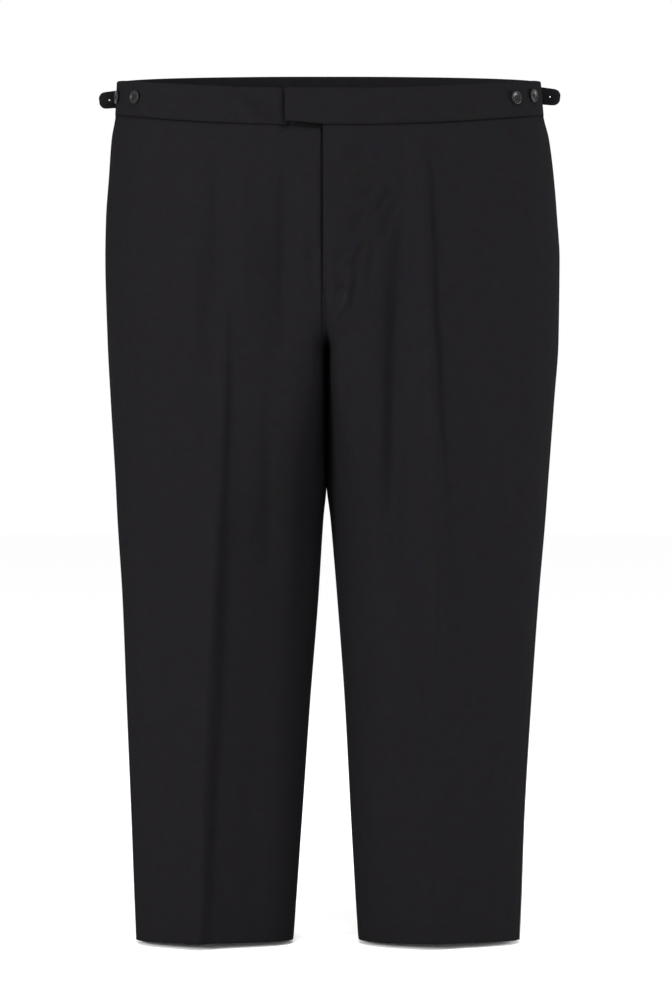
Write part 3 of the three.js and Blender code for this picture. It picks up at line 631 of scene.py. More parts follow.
def fly_lift(side, z):
    if side < 0:
        return 0
    extra = (FLY_TOP_LIFT - FLY_LIFT) * smooth(FLY_TOP_LIFT_END, FLY_TOP_LIFT_START, z)
    return (FLY_LIFT + extra) * smooth(FLY_LIFT_END, FLY_SEAM_START, z)


def lifted(side, section, distances, lift):
    """Points of a front, raised by the lift of the fly or band near the centre."""
    share = 1 - smooth(LIFT_FULL, LIFT_GONE, distances)
    return cloth_points(side, -1, section, distances, lift * share, band_dip(side, distances, section.z))


def normals_of(rows, side):
    """Directions that a grid of cloth faces, level at its first and last row."""
    down = np.gradient(rows, axis=0)
    along = np.gradient(rows, axis=1)
    across = np.cross(along, down)
    across[0, :, 2] = across[-1, :, 2] = 0
    return -side * across / np.maximum(np.linalg.norm(across, axis=2, keepdims=True), 1e-9)


def heights():
    """Heights of the rows of the legs."""
    rows = [BAND_BOTTOM - SEAM_GAP]
    while rows[-1] > HEM:
        z = rows[-1]
        step = next(step for limit, step in ROW_STEPS if z > limit)
        rows.append(max(z - step, HEM))
    return rows


def columns(section):
    """Distances of the columns of a panel from the centre or inseam to the side seam."""
    first = section.crease - INWARD_STEP * (INWARD_STEPS - 1)
    wall = np.linspace(0, first, WALL_COLUMNS, endpoint=False)
    front = np.linspace(first, section.crease, INWARD_STEPS, endpoint=False)
    last = section.crease + INWARD_STEP * OUTWARD_STEPS
    near = np.linspace(section.crease, last, OUTWARD_STEPS, endpoint=False)
    return np.concatenate([wall, front, near, np.linspace(last, section.length, OUTWARD_COLUMNS)])


def panel_grid(side, facing):
    """Outer face of a front or back leg, with the lap of the fly on a front."""
    rows = []
    for z in heights():
        section = Section(side, z, facing)
        if facing > 0:
            rows.append(cloth_points(side, facing, section, columns(section)))
            continue
        lift = fly_lift(side, z)
        own = lifted(side, section, columns(section), lift)
        width = (FLY_LAP if side > 0 else 0) * float(smooth(FLY_SEAM_START, FLY_END, z)) + LAP_LEAST
        laps = np.linspace(width, LAP_SPACING, LAP_COLUMNS)
        lap = cloth_points(-side, -1, Section(-side, z, -1), laps, lift, band_dip(side, 0, z))
        if z <= FLY_SEAM_START:
            lap = own[:1] - np.array([[side * n * LAP_SPACING, 0, 0] for n in range(LAP_COLUMNS, 0, -1)])
        rows.append(np.concatenate([lap, own]))
    return closed_at_middle(np.array(rows), side)


def closed_at_middle(grid, side):
    """The grid with the clearance at the middle plane taken up, so that the sewn seams are shut."""
    away = side * grid[:, :, 0]
    grid[:, :, 0] -= np.where(away > 0, side * SEAM_GAP / 2 * (1 - smooth(SEAM_GAP, SEAM_FADE, away)), 0)
    return grid


def make_object(name, points, faces, uv=None, material=None):
    """A smooth mesh object from points in millimetres."""
    mesh = bpy.data.meshes.new(name)
    mesh.from_pydata((np.asarray(points) * MM).tolist(), [], faces)
    mesh.update()
    if uv is not None:
        layer = mesh.uv_layers.new(name="cloth")
        for loop in mesh.loops:
            layer.data[loop.index].uv = uv[loop.vertex_index]
    mesh.shade_smooth()
    mesh.set_sharp_from_angle(angle=math.radians(SHARP_ANGLE))
    piece = bpy.data.objects.new(name, mesh)
    bpy.context.scene.collection.objects.link(piece)
    if material is not None:
        mesh.materials.append(material)
    return piece


def signed_volume(points, faces):
    total = 0.0
    for face in faces:
        a = points[face[0]]
        for b, c in zip(face[1:], face[2:]):
            total += np.dot(a, np.cross(points[b], points[c]))
    return total


def sheet_mesh(name, outer, inner, material, middle=None):
    """A closed thin sheet between two grids, with rounded edges, and a UV map in metres.

    The map is measured across from the middle column, so that the weave runs true to the crease.
    """
    row_count, column_count = outer.shape[:2]
    points = [*outer.reshape(-1, 3), *inner.reshape(-1, 3)]
    width = np.linalg.norm(np.diff(outer, axis=1), axis=2)
    u = np.concatenate([np.zeros((row_count, 1)), np.cumsum(width, axis=1)], axis=1)
    u -= u[:, column_count // 2 if middle is None else middle][:, None]
    height = np.linalg.norm(np.diff(outer, axis=0), axis=2).mean(axis=1)
    v = np.concatenate([[0], np.cumsum(height)])
    uv = [(u[r, c] * MM, -v[r] * MM) for r in range(row_count) for c in range(column_count)] * 2
    shift = row_count * column_count

    def at(r, c):
        return r * column_count + c

    faces = []
    for r in range(row_count - 1):
        for c in range(column_count - 1):
            quad = (at(r, c), at(r, c + 1), at(r + 1, c + 1), at(r + 1, c))
            faces.append(quad)
            faces.append(tuple(shift + i for i in reversed(quad)))
    border = [(0, c) for c in range(column_count)]
    border += [(r, column_count - 1) for r in range(1, row_count)]
    border += [(row_count - 1, c) for c in range(column_count - 2, -1, -1)]
    border += [(r, 0) for r in range(row_count - 2, 0, -1)]
    edge = []
    for r, c in border:
        inside = (min(max(r, 1), row_count - 2), min(max(c, 1), column_count - 2))
        away = outer[r, c] - outer[inside]
        thickness = np.linalg.norm(outer[r, c] - inner[r, c])
        away = away / max(np.linalg.norm(away), 1e-9) * EDGE_BULGE * thickness
        edge.append(len(points))
        points.append((outer[r, c] + inner[r, c]) / 2 + away)
        uv.append(uv[at(r, c)])
    for i, (r, c) in enumerate(border):
        r2, c2 = border[(i + 1) % len(border)]
        e, e2 = edge[i], edge[(i + 1) % len(border)]
        faces.append((at(r2, c2), at(r, c), e, e2))
        faces.append((e2, e, shift + at(r, c), shift + at(r2, c2)))
    if signed_volume(points, faces) < 0:
        faces = [tuple(reversed(face)) for face in faces]
    return make_object(name, points, faces, uv, material)


def half_ring(side, z, lift=0, laps=()):
    """Points of one half at a height, from the lap over the centre front to the centre back."""
    front, back = Section(side, z, -1), Section(side, z, 1)
    near = np.linspace(0, front.length, RING_COLUMNS)
    far = np.linspace(back.length, 0, RING_COLUMNS)
    parts = [lifted(side, front, near, lift), cloth_points(side, 1, back, far)]
    hollow = BAND_HOLLOW * float(smooth(BAND_HOLLOW_TOP, BAND_HOLLOW_FULL, z)) if side < 0 else 0
    parts[0][:, 1] += hollow * (1 - smooth(*BAND_HOLLOW_ACROSS, near))
    if len(laps):
        other = Section(-side, z, -1)
        foot = float(smooth(BAND_TOP, BAND_BOTTOM, z))
        rise = BAND_END_RISE * foot * laps / BAND_LAP if side > 0 else 0
        drop = float(band_dip(side, 0, z)) - rise
        parts.insert(0, cloth_points(-side, -1, other, laps, lift - hollow, drop, folded=side < 0))
    return np.concatenate(parts)


def band_loops(side):
    """Loops of the waistband's section, from its front end to the centre back."""
    reach, lift = (BAND_LAP, BAND_LIFT) if side > 0 else (BAND_UNDERLAP, 0)
    laps = np.linspace(reach, BAND_LAP_START, BAND_LAP_COLUMNS[side])
    columns_at = {z: half_ring(side, z, lift, laps) for z in sorted({z for _, z in BAND_PROFILE})}
    thickness = in_mm("band_thickness")
    loops = []
    for share, z in BAND_PROFILE:
        proud = BAND_PROUD - thickness * (1 - share)
        line = columns_at[z]
        along = np.gradient(line, axis=0)
        out = np.stack([along[:, 1] * side, -along[:, 0] * side, np.zeros(len(line))], axis=1)
        out /= np.linalg.norm(out, axis=1, keepdims=True)
        loops.append(line + out * proud)
    return np.array(loops).transpose(1, 0, 2)


def loop_mesh(name, loops, material):
    """A closed solid along a row of closed loops, with rounded ends."""
    ends = []
    for at, inside in ((0, 1), (-1, -2)):
        centre = loops[at].mean(axis=0)
        away = centre - loops[inside].mean(axis=0)
        away /= np.linalg.norm(away)
        ends.append(centre + (loops[at] - centre) * END_SHRINK + away * END_BULGE)
    loops = np.concatenate([ends[:1], loops, ends[1:]])
    count, size = loops.shape[:2]
    points = list(loops.reshape(-1, 3))
    faces = []
    for i in range(count - 1):
        for k in range(size):
            after = (k + 1) % size
            faces.append((i * size + k, i * size + after, (i + 1) * size + after, (i + 1) * size + k))
    faces.append(tuple(range(size))[::-1])
    faces.append(tuple((count - 1) * size + k for k in range(size)))
    if signed_volume(points, faces) < 0:
        faces = [tuple(reversed(face)) for face in faces]
    length = np.concatenate([[0], np.cumsum(np.linalg.norm(np.diff(loops.mean(axis=1), axis=0), axis=1))])
    girth = np.concatenate([[0], np.cumsum(np.linalg.norm(np.diff(loops[1], axis=0), axis=1))])
    uv = [(length[i] * MM, girth[k] * MM) for i in range(count) for k in range(size)]
    return make_object(name, points, faces, uv, material)


def band_seat(side, facing, across, z):
    """Point on the outside of the waistband, the way it faces, and the way to the side seam."""
    section = Section(side, z, facing)
    sample = np.linspace(0, section.length, SEAT_SAMPLES)
    found = section.at(sample)
    i = int(np.argmin(np.abs(found[:, 0] - across)))
    near = cloth_points(side, facing, section, sample[[i - 2, i, i + 2]])
    along = near[2] - near[0]
    along /= np.linalg.norm(along)
    up = np.array([0, 0, 1.0])
    out = np.cross(along, up) * (side * -facing)
    out /= np.linalg.norm(out)
    if np.dot(out, near[1] * np.array([1, 1, 0])) < 0:
        out = -out
    return near[1] + out * (BAND_PROUD + SEAT_CLEARANCE), out, along


def add_node(tree, kind, settings=None, links=None):
    """Adds a node; settings go to its attributes or inputs, and links to its inputs."""
    node = tree.nodes.new(kind)
    for key, value in (settings or {}).items():
        if isinstance(key, str) and hasattr(node, key):
            setattr(node, key, value)
        else:
            node.inputs[key].default_value = value
    for key, source in (links or {}).items():
        tree.links.new(source, node.inputs[key])
    return node


def new_material(name, **settings):
    """A material with a Principled shader, whose constant values are set on its own sockets."""
    material = bpy.data.materials.new(name)
    material.use_nodes = True
    tree = material.node_tree
    shader = tree.nodes["Principled BSDF"]
    for key, value in settings.items():
        shader.inputs[key.replace("_", " ")].default_value = value
    return material, tree, shader


def worsted_wool():
    """Black worsted wool, woven in a fine twill and pressed: matt, with soft light along folds."""
    material, tree, shader = new_material(
        "worsted wool twill",
        Roughness=0.85,
        IOR=1.54,
        Specular_IOR_Level=0.004,
        Sheen_Weight=0.002,
        Sheen_Roughness=0.4,
        Sheen_Tint=linear("8c888c"),
    )
    place = add_node(tree, "ShaderNodeUVMap", {"uv_map": "cloth"})
    # The real twill lines are about 0.5 mm apart, too fine to show, so they are drawn 1 mm apart.
    twill = add_node(
        tree, "ShaderNodeTexWave",
        {"wave_type": "BANDS", "bands_direction": "DIAGONAL", "Scale": DIAGONAL_WAVE / (1.0 * MM),
         "Distortion": 0.6, "Detail": 1.5, "Detail Scale": 2.0},
        {"Vector": place.outputs[0]},
    )
    solid = add_node(tree, "ShaderNodeTexCoord")
    # Slub and shade of the yarn, about 9 mm, and slow upright waves of the hanging cloth, about
    # 45 mm across and 130 mm long.
    drape = add_node(tree, "ShaderNodeMapping", {"Scale": (1, 1, 0.35)}, {"Vector": solid.outputs["Object"]})
    shade = add_node(
        tree, "ShaderNodeTexNoise", {"Scale": 110.0, "Detail": 4.0}, {"Vector": solid.outputs["Object"]}
    )
    slow = add_node(tree, "ShaderNodeTexNoise", {"Scale": 22.0, "Detail": 2.5}, {"Vector": drape.outputs[0]})
    # The twill bands are painted light and shade of the weave, lighter raised yarns and darker shaded ones,
    # laid over the twill's own bump.
    tint = add_node(
        tree, "ShaderNodeMix", {"data_type": "RGBA", 6: colour("wool_painted_shade"), 7: colour("wool_painted_light")},
        {0: twill.outputs["Fac"]},
    )
    tone = add_node(
        tree, "ShaderNodeMix", {"data_type": "RGBA", "blend_type": "MULTIPLY", 0: 0.35},
        {6: tint.outputs[2], 7: shade.outputs["Color"]},
    )
    tree.links.new(tone.outputs[2], shader.inputs["Base Color"])
    weave = add_node(
        tree, "ShaderNodeBump", {"Strength": 0.25, "Distance": 0.0002}, {"Height": twill.outputs["Fac"]}
    )
    waves = add_node(
        tree, "ShaderNodeBump", {"Strength": 0.7, "Distance": 0.003},
        {"Height": slow.outputs["Fac"], "Normal": weave.outputs[0]},
    )
    tree.links.new(waves.outputs[0], shader.inputs["Normal"])
    return material


def satin_braid():
    """Black silk-faced satin braid: smoother than the cloth, with a soft stretched gloss."""
    material, tree, shader = new_material(
        "satin braid", Roughness=0.42, IOR=1.54, Specular_IOR_Level=0.16, Anisotropic=0.5,
        Sheen_Weight=0.02, Sheen_Roughness=0.3,
    )
    place = add_node(tree, "ShaderNodeUVMap", {"uv_map": "cloth"})
    # Ribs across the braid are about 0.6 mm apart; they are drawn 1.2 mm apart to show.
    ribs = add_node(
        tree, "ShaderNodeTexWave",
        {"wave_type": "BANDS", "bands_direction": "Y", "Scale": STRAIGHT_WAVE / (1.2 * MM),
         "Distortion": 0.3, "Detail": 1.0},
        {"Vector": place.outputs[0]},
    )
    # The ribs are painted lighter and the grooves darker, as painted light and painted shade laid over the
    # ribs' own bump.
    tint = add_node(
        tree, "ShaderNodeMix", {"data_type": "RGBA", 6: colour("braid_dark"), 7: colour("braid_light")},
        {0: ribs.outputs["Fac"]},
    )
    tree.links.new(tint.outputs[2], shader.inputs["Base Color"])
    bump = add_node(
        tree, "ShaderNodeBump", {"Strength": 0.3, "Distance": 0.00015}, {"Height": ribs.outputs["Fac"]}
    )
    tree.links.new(bump.outputs[0], shader.inputs["Normal"])
    return material


def polyester_resin():
    """Dark cast resin with faint horn-like streaks: polished, with bright lines round its rim."""
    material, tree, shader = new_material(
        "polyester resin button", Roughness=0.3, IOR=1.54, Specular_IOR_Level=0.12,
    )
    solid = add_node(tree, "ShaderNodeTexCoord")
    streaks = add_node(
        tree, "ShaderNodeTexNoise", {"Scale": 260.0, "Detail": 3.0, "Distortion": 1.2},
        {"Vector": solid.outputs["Object"]},
    )
    tint = add_node(
        tree, "ShaderNodeMix", {"data_type": "RGBA", 6: colour("button_dark"), 7: colour("button_light")},
        {0: streaks.outputs["Fac"]},
    )
    tree.links.new(tint.outputs[2], shader.inputs["Base Color"])
    return material


def sewing_thread():
    """Black spun polyester thread: a little smoother and lighter than the wool it lies on."""
    material, tree, shader = new_material(
        "spun polyester thread", Roughness=0.5, IOR=1.55, Specular_IOR_Level=0.1
    )
    solid = add_node(tree, "ShaderNodeTexCoord")
    # The twist of the thread, 0.8 mm apart.
    twist = add_node(
        tree, "ShaderNodeTexWave", {"bands_direction": "DIAGONAL", "Scale": DIAGONAL_WAVE / (0.8 * MM)},
        {"Vector": solid.outputs["Object"]},
    )
    tint = add_node(
        tree, "ShaderNodeMix", {"data_type": "RGBA", 6: colour("thread_dark"), 7: colour("thread_light")},
        {0: twist.outputs["Fac"]},
    )
    tree.links.new(tint.outputs[2], shader.inputs["Base Color"])
    return material


def material_named(name, make):
    return bpy.data.materials.get(name) or make()


def wool():
    return material_named("worsted wool twill", worsted_wool)


def finished(piece, slot, *nodes):
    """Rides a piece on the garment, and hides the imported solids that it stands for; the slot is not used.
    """
    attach(piece, "root")
    if nodes:
        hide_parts(*nodes)
    return piece


def build_panels():
    """The four leg panels, hung from the waistband."""
    thickness = in_mm("cloth_thickness")
    crease_column = WALL_COLUMNS + INWARD_STEPS
    for side, word in SIDES:
        for facing, face in ((-1, "front"), (1, "back")):
            outer = panel_grid(side, facing)
            inner = outer - normals_of(outer, side * -facing) * thickness
            own = side * inner[:, :, 0]
            inner[:, :, 0] = side * np.where(side * outer[:, :, 0] > 0, np.maximum(own, SEAM_GAP / 4), own)
            middle = crease_column + (LAP_COLUMNS if facing < 0 else 0)
            piece = sheet_mesh(f"{face}_{word}_leg", outer, inner, wool(), middle)
            finished(piece, "wool", f"{face}_{word}")


def build_waistband():
    """Both halves of the waistband, with the square end of the left one lapping over the fly."""
    for side, word in SIDES:
        loops = band_loops(side)
        piece = loop_mesh(f"waistband_{word}_cloth", loops, wool())
        finished(piece, "wool", f"waistband_{word}")


def build_braid():
    """The braid over both side seams."""
    thickness, half = in_mm("braid_thickness"), in_mm("braid_width") / 2
    for side, word in SIDES:
        rows = []
        for z in heights():
            front, back = Section(side, z, -1), Section(side, z, 1)
            near = cloth_points(side, -1, front, np.linspace(front.length - half, front.length, 5))
            far = cloth_points(side, 1, back, np.linspace(back.length, back.length - half, 5))
            rows.append(np.concatenate([near, far]))
        grid = np.array(rows)
        normals = normals_of(grid, side)
        material = material_named("satin braid", satin_braid)
        outer, inner = grid + normals * (SEAM_GAP + thickness), grid + normals * SEAM_GAP
        piece = sheet_mesh(f"braid_{word}", outer, inner, material)
        finished(piece, "satin_braid", f"stripe_{word}")


def frame_of(point, out, along):
    """A matrix that puts a piece made round Z at a seat, with Z facing out."""
    z = Vector(out).normalized()
    x = Vector(along).normalized()
    y = z.cross(x)
    return Matrix.Translation(Vector(point) * MM) @ Matrix((x, y, z)).transposed().to_4x4()


def lathe(profile, sides):
    """Points and faces of a closed solid of revolution; the profile is (radius, height) pairs."""
    points = [(0, 0, profile[0][1])]
    faces = []
    for radius, height in profile:
        for i in range(sides):
            angle = 2 * math.pi * i / sides
            points.append((radius * math.cos(angle), radius * math.sin(angle), height))
    points.append((0, 0, profile[-1][1]))
    for i in range(sides):
        after = (i + 1) % sides
        faces.append((0, 1 + after, 1 + i))
        for k in range(len(profile) - 1):
            a = 1 + k * sides
            faces.append((a + i, a + after, a + sides + after, a + sides + i))
        last = 1 + (len(profile) - 1) * sides
        faces.append((last + i, last + after, len(points) - 1))
    return points, faces


def cut_with(piece, tools):
    """Cuts the tool objects out of a piece, and removes them."""
    for tool in tools:
        modifier = piece.modifiers.new("hole", "BOOLEAN")
        modifier.operation = "DIFFERENCE"
        modifier.solver = "EXACT"
        modifier.object = tool
    graph = bpy.context.evaluated_depsgraph_get()
    cut = bpy.data.meshes.new_from_object(piece.evaluated_get(graph))
    piece.modifiers.clear()
    piece.data = cut
    cut.shade_smooth()
    cut.set_sharp_from_angle(angle=math.radians(CUT_SHARP_ANGLE))
    for tool in tools:
        bpy.data.objects.remove(tool)


def build_buttons():
    """Four dished buttons with four holes, and the thread that crosses them."""
    material = material_named("polyester resin button", polyester_resin)
    radius, thickness = in_mm("button_width") / 2, in_mm("button_thickness")
    profile = [(r * radius, h * thickness) for r, h in BUTTON_PROFILE]
    floor = BUTTON_PROFILE[-1][1] * thickness
    for place in BUTTON_PLACES:
        name = f"side_button_{place['name']}"
        point, out, along = band_seat(place["side"], -1, place["across"], place["height"])
        seat = frame_of(point + out * SEAM_GAP, out, along)
        points, faces = lathe(profile, BUTTON_SIDES)
        piece = make_object(name, points, faces, None, material)
        hole_points, hole_faces = lathe([(HOLE_RADIUS, height) for height in HOLE_REACH], HOLE_SIDES)
        tools, cross = [], []
        for x in (-HOLE_SPACING, HOLE_SPACING):
            for y in (-HOLE_SPACING, HOLE_SPACING):
                tools.append(make_object("hole", [(a + x, b + y, c) for a, b, c in hole_points], hole_faces))
            for shift in (-STRAND_SHIFT, STRAND_SHIFT):
                cross.append([(x + shift, y * HOLE_SPACING, floor + height) for y, height in STRAND])
        cut_with(piece, tools)
        piece.data.transform(seat)
        finished(piece, "button_resin", f"button_{place['name']}")
        thread = thread_mesh(f"{name}_thread", cross, BUTTON_THREAD_RADIUS)
        thread.data.transform(seat)
        finished(thread, "wool")


def thread_mesh(name, runs, radius, sides=6):
    """Threads of round section along runs of points in millimetres, with closed ends."""
    points, faces = [], []
    for run in runs:
        line = [Vector(p) for p in run]
        start = len(points)
        own = []
        for i, p in enumerate(line):
            along = (line[min(i + 1, len(line) - 1)] - line[max(i - 1, 0)]).normalized()
            across = along.orthogonal() if i == 0 else across - along * across.dot(along)
            across.normalize()
            other = along.cross(across)
            for k in range(sides):
                angle = 2 * math.pi * k / sides
                points.append(tuple(p + (across * math.cos(angle) + other * math.sin(angle)) * radius))
        for i in range(len(line) - 1):
            a = start + i * sides
            for k in range(sides):
                after = (k + 1) % sides
                own.append((a + k, a + after, a + sides + after, a + sides + k))
        own.append(tuple(start + k for k in range(sides))[::-1])
        own.append(tuple(start + (len(line) - 1) * sides + k for k in range(sides)))
        faces += own
    return make_object(name, points, faces, None, material_named("spun polyester thread", sewing_thread))


def place_on(side, facing, across, z):
    """Point on the outside of a panel, and the way it faces; across is None beside the braid."""

    def point(shift, z):
        section = Section(side, z, facing)
        if across is None:
            distance = section.length - in_mm("braid_width") / 2 - BESIDE_BRAID
        else:
            sample = np.linspace(0, section.length, SEAT_SAMPLES // 2)
            distance = np.interp(across, section.at(sample)[:, 0], sample)
        if facing > 0:
            return cloth_points(side, facing, section, [distance + shift])[0]
        return lifted(side, section, [distance + shift], fly_lift(side, z))[0]

    centre = point(0, z)
    along = point(1, z) - point(-1, z)
    out = np.cross(along, point(0, z - 1) - point(0, z + 1))
    out /= np.linalg.norm(out)
    if np.dot(out, centre - np.array([side * 120, 10, centre[2]])) < 0:
        out = -out
    return centre, out, along / np.linalg.norm(along)


def stitch_run(start, end, out, radius):
    """One stitch that rises from the cloth, lies on it and dives in again."""
    return [start + (end - start) * share + out * radius * height for share, height in STITCH]


def build_stitching():
    """The fly's curved line of stitches, and bar tacks at the fly and the pocket ends."""
    radius = in_mm("thread_width") / 2
    length, gap = in_mm("stitch_length"), in_mm("stitch_gap")
    runs = []
    for side, line in STITCH_LINES:
        corners = np.array(line, float)
        spans = np.concatenate([[0], np.cumsum(np.linalg.norm(np.diff(corners, axis=0), axis=1))])
        for start in np.arange(0, spans[-1] - length, length + gap):
            ends = []
            for at in (start, start + length):
                across, z = (float(np.interp(at, spans, corners[:, axis])) for axis in (0, 1))
                ends.append(place_on(side, -1, across, z))
            runs.append(stitch_run(ends[0][0], ends[1][0], ends[0][1], radius))
    for side, across, z, tack, lean in BAR_TACKS:
        centre, out, along = place_on(side, -1, across, z)
        up = np.cross(out, along)
        up *= np.sign(up[2])
        angle = math.radians(lean)
        way = along * side * math.cos(angle) + up * math.sin(angle)
        square = np.cross(out, way)
        count = round(tack / (radius * TACK_SPACING))
        for i in range(count):
            middle = centre + way * tack * ((i + 0.5) / count - 0.5)
            reach = square * TACK_HALF_WIDTH
            runs.append(stitch_run(middle - reach, middle + reach, out, radius))
    finished(thread_mesh("fly_and_pocket_stitches", runs, radius), "wool")


def tab_line(seat, share, length):
    """Middle line of an adjuster tab: sewn flat at its root, and springing away from there."""
    point, out, along = seat

    def angle_at(at):
        return TAB_LAST_ANGLE * max(0, (at - TAB_SEWN_SHARE) / (1 - TAB_SEWN_SHARE))

    centre = np.array(point, float)
    for i in range(TAB_STEPS):
        angle = angle_at(share * (i + 0.5) / TAB_STEPS)
        centre += (along * math.cos(angle) + out * math.sin(angle)) * share * length / TAB_STEPS
    angle = angle_at(share)
    return centre, out * math.cos(angle) - along * math.sin(angle)


def build_adjusters():
    """The two side adjusters' tabs, each with a sewn edge and a keyhole buttonhole."""
    thickness, radius = in_mm("tab_thickness"), in_mm("thread_width") / 2
    for side, word in SIDES:
        seat = band_seat(side, 1, TAB_ACROSS, TAB_HEIGHTS[side])
        length = TAB_LENGTHS[side]
        up = np.cross(seat[1], seat[2])
        up *= np.sign(up[2])
        shares = np.concatenate([np.linspace(*rows) for rows in TAB_ROWS])
        halves = np.interp(shares, *zip(*TAB_OUTLINE))
        loops = []
        for share, half in zip(shares, halves):
            centre, faces = tab_line(seat, share, length)
            loops.append([
                centre + faces * (SEAM_GAP + thickness * thick) + up * half * wide
                for wide, thick in TAB_PROFILE
            ])
        piece = loop_mesh(f"adjuster_tab_{word}", np.array(loops), wool())

        def on_tab(distance, height, lift):
            centre, faces = tab_line(seat, distance / length, length)
            return centre + faces * (SEAM_GAP + thickness * 1.03 + lift) + up * height

        eye_at = length - TAB_KEYHOLE_FROM_TIP
        centre, faces = tab_line(seat, eye_at / length, length)
        eye_points, eye_faces = lathe([(EYE_RADIUS, height) for height in EYE_REACH], EYE_SIDES)
        eye = make_object("eye", eye_points, eye_faces)
        eye.data.transform(frame_of(centre, faces, np.cross(up, faces)))
        cut_with(piece, [eye])
        finished(piece, "wool", f"adjuster_{word}")
        runs = []
        # Stitches round the eye, and side by side along the slit that runs back from it.
        for i in range(EYE_STITCHES):
            angle = 2 * math.pi * i / EYE_STITCHES
            x, y = math.cos(angle), math.sin(angle)
            if x > EYE_OPEN:
                runs.append([on_tab(eye_at + x * r, y * r, height) for r, height in EYE_STITCH])
        for i in range(SLIT_STITCHES):
            x = eye_at - SLIT_START - i * SLIT_SPACING
            for way in (-1, 1):
                runs.append([on_tab(x, way * r, height) for r, height in SLIT_STITCH])
        # The line of stitches round the edge.
        for way in (-1, 1):
            line = []
            for distance in np.arange(
                length * EDGE_START_SHARE, length - EDGE_STITCH_LENGTH, EDGE_STITCH_LENGTH
            ):
                half = float(np.interp(distance / length, *zip(*TAB_OUTLINE))) - EDGE_INSET
                if half > EDGE_LEAST:
                    line.append((distance, way * half))
            for a, b in zip(line[::2], line[1::2]):
                runs.append([
                    on_tab(*a, -0.3), on_tab(*a, 0.05),
                    on_tab((a[0] + b[0]) / 2, (a[1] + b[1]) / 2, 0.1), on_tab(*b, 0.05), on_tab(*b, -0.3),
                ])
        finished(thread_mesh(f"adjuster_tab_{word}_stitches", runs, radius), "wool")


def build_stage():
    """A plain pale floor under the hems, soft light from both sides, and a camera in front."""
    scene = bpy.context.scene
    level = HEM * MM - FLOOR_DROP
    corners = [(x * FLOOR_SIZE, y * FLOOR_SIZE, level) for x, y in ((-1, -1), (1, -1), (1, 1), (-1, 1))]
    floor_mesh = bpy.data.meshes.new("floor")
    floor_mesh.from_pydata(corners, [], [(0, 1, 2, 3)])
    floor = bpy.data.objects.new("floor", floor_mesh)
    scene.collection.objects.link(floor)
    material, _, shader = new_material("matt white paper", Roughness=0.9, Specular_IOR_Level=0.0)
    shader.inputs["Base Color"].default_value = linear("fdfdfd")
    floor_mesh.materials.append(material)
    world = bpy.data.worlds.new("studio")
    scene.world = world
    world.use_nodes = True
    world.node_tree.nodes["Background"].inputs["Color"].default_value = (1, 1, 1, 1)
    world.node_tree.nodes["Background"].inputs["Strength"].default_value = WORLD_STRENGTH
    for name, place, size, watts in LAMPS:
        light = bpy.data.lights.new(name, "AREA")
        light.shape = "DISK"
        light.size = size
        light.energy = watts
        lamp = bpy.data.objects.new(name, light)
        lamp.location = place
        lamp.rotation_euler = (Vector(LAMP_TARGET) - Vector(place)).to_track_quat("-Z", "Y").to_euler()
        scene.collection.objects.link(lamp)
    camera = bpy.data.objects.new("camera", bpy.data.cameras.new("camera"))
    camera.data.lens = CAMERA_LENS
    camera.data.sensor_width = 36
    camera.location = CAMERA_PLACE
    camera.rotation_euler = (math.pi / 2, 0, 0)
    scene.collection.objects.link(camera)
    scene.camera = camera
    scene.view_settings.view_transform = "Standard"
    scene.view_settings.look = "None"


class TROUSERS_OT_legs(bpy.types.Operator):
    """Build the four leg panels"""

    bl_idname = "trousers.legs"
    bl_label = "Leg Panels"

    def execute(self, context):
        build_panels()
        return {"FINISHED"}


class TROUSERS_OT_waistband(bpy.types.Operator):
    """Build both halves of the waistband"""

    bl_idname = "trousers.waistband"
    bl_label = "Waistband"

    def execute(self, context):
        build_waistband()
        return {"FINISHED"}


class TROUSERS_OT_braid(bpy.types.Operator):
    """Build the braid down the side seams"""

    bl_idname = "trousers.braid"
    bl_label = "Braid"

    def execute(self, context):
        build_braid()
        return {"FINISHED"}


class TROUSERS_OT_buttons(bpy.types.Operator):
    """Build the four buttons and their thread"""

    bl_idname = "trousers.buttons"
    bl_label = "Buttons"

    def execute(self, context):
        build_buttons()
        return {"FINISHED"}


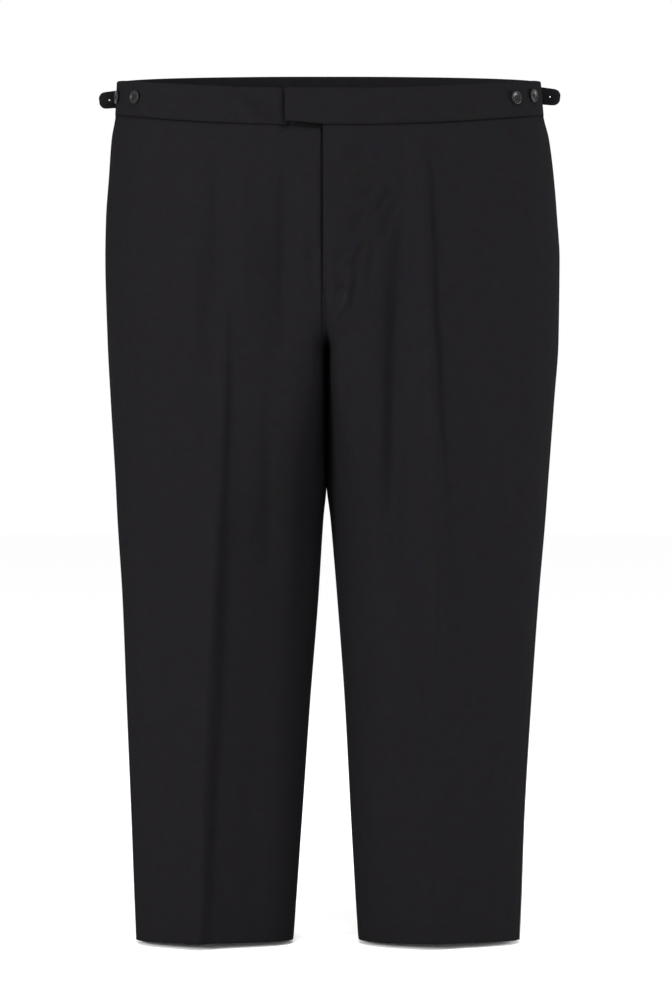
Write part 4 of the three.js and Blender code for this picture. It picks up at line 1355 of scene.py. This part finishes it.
class TROUSERS_OT_adjusters(bpy.types.Operator):
    """Build the side adjusters' tabs"""

    bl_idname = "trousers.adjusters"
    bl_label = "Side Adjusters"

    def execute(self, context):
        build_adjusters()
        return {"FINISHED"}


class TROUSERS_OT_stitching(bpy.types.Operator):
    """Build the stitches of the fly and the pockets' bar tacks"""

    bl_idname = "trousers.stitching"
    bl_label = "Stitching"

    def execute(self, context):
        build_stitching()
        return {"FINISHED"}


class TROUSERS_OT_stage(bpy.types.Operator):
    """Build the floor, the lights and the camera"""

    bl_idname = "trousers.stage"
    bl_label = "Stage"

    def execute(self, context):
        build_stage()
        return {"FINISHED"}


OPERATORS = (
    TROUSERS_OT_legs,
    TROUSERS_OT_waistband,
    TROUSERS_OT_braid,
    TROUSERS_OT_buttons,
    TROUSERS_OT_adjusters,
    TROUSERS_OT_stitching,
    TROUSERS_OT_stage,
)


class TROUSERS_PT_sidebar(bpy.types.Panel):
    """Sizes, colours and pieces of the trousers"""

    bl_idname = "TROUSERS_PT_sidebar"
    bl_label = "Dress Trousers"
    bl_space_type = "VIEW_3D"
    bl_region_type = "UI"
    bl_category = "Trousers"

    def draw(self, context):
        for group in (context.scene.trouser_sizes, context.scene.trouser_colours):
            box = self.layout.box()
            for name in type(group).__annotations__:
                box.prop(group, name)
        for operator in OPERATORS:
            self.layout.operator(operator.bl_idname)


CLASSES = (TrouserSizes, TrouserColours, *OPERATORS, TROUSERS_PT_sidebar)


def register():
    for item in CLASSES:
        bpy.utils.register_class(item)
    bpy.types.Scene.trouser_sizes = PointerProperty(type=TrouserSizes)
    bpy.types.Scene.trouser_colours = PointerProperty(type=TrouserColours)


def unregister():
    del bpy.types.Scene.trouser_colours
    del bpy.types.Scene.trouser_sizes
    for item in reversed(CLASSES):
        bpy.utils.unregister_class(item)


def main():
    register()
    bpy.ops.trousers.legs()
    bpy.ops.trousers.waistband()
    bpy.ops.trousers.braid()
    bpy.ops.trousers.buttons()
    bpy.ops.trousers.adjusters()
    bpy.ops.trousers.stitching()
    bpy.ops.trousers.stage()


if __name__ == "__main__":
    main()
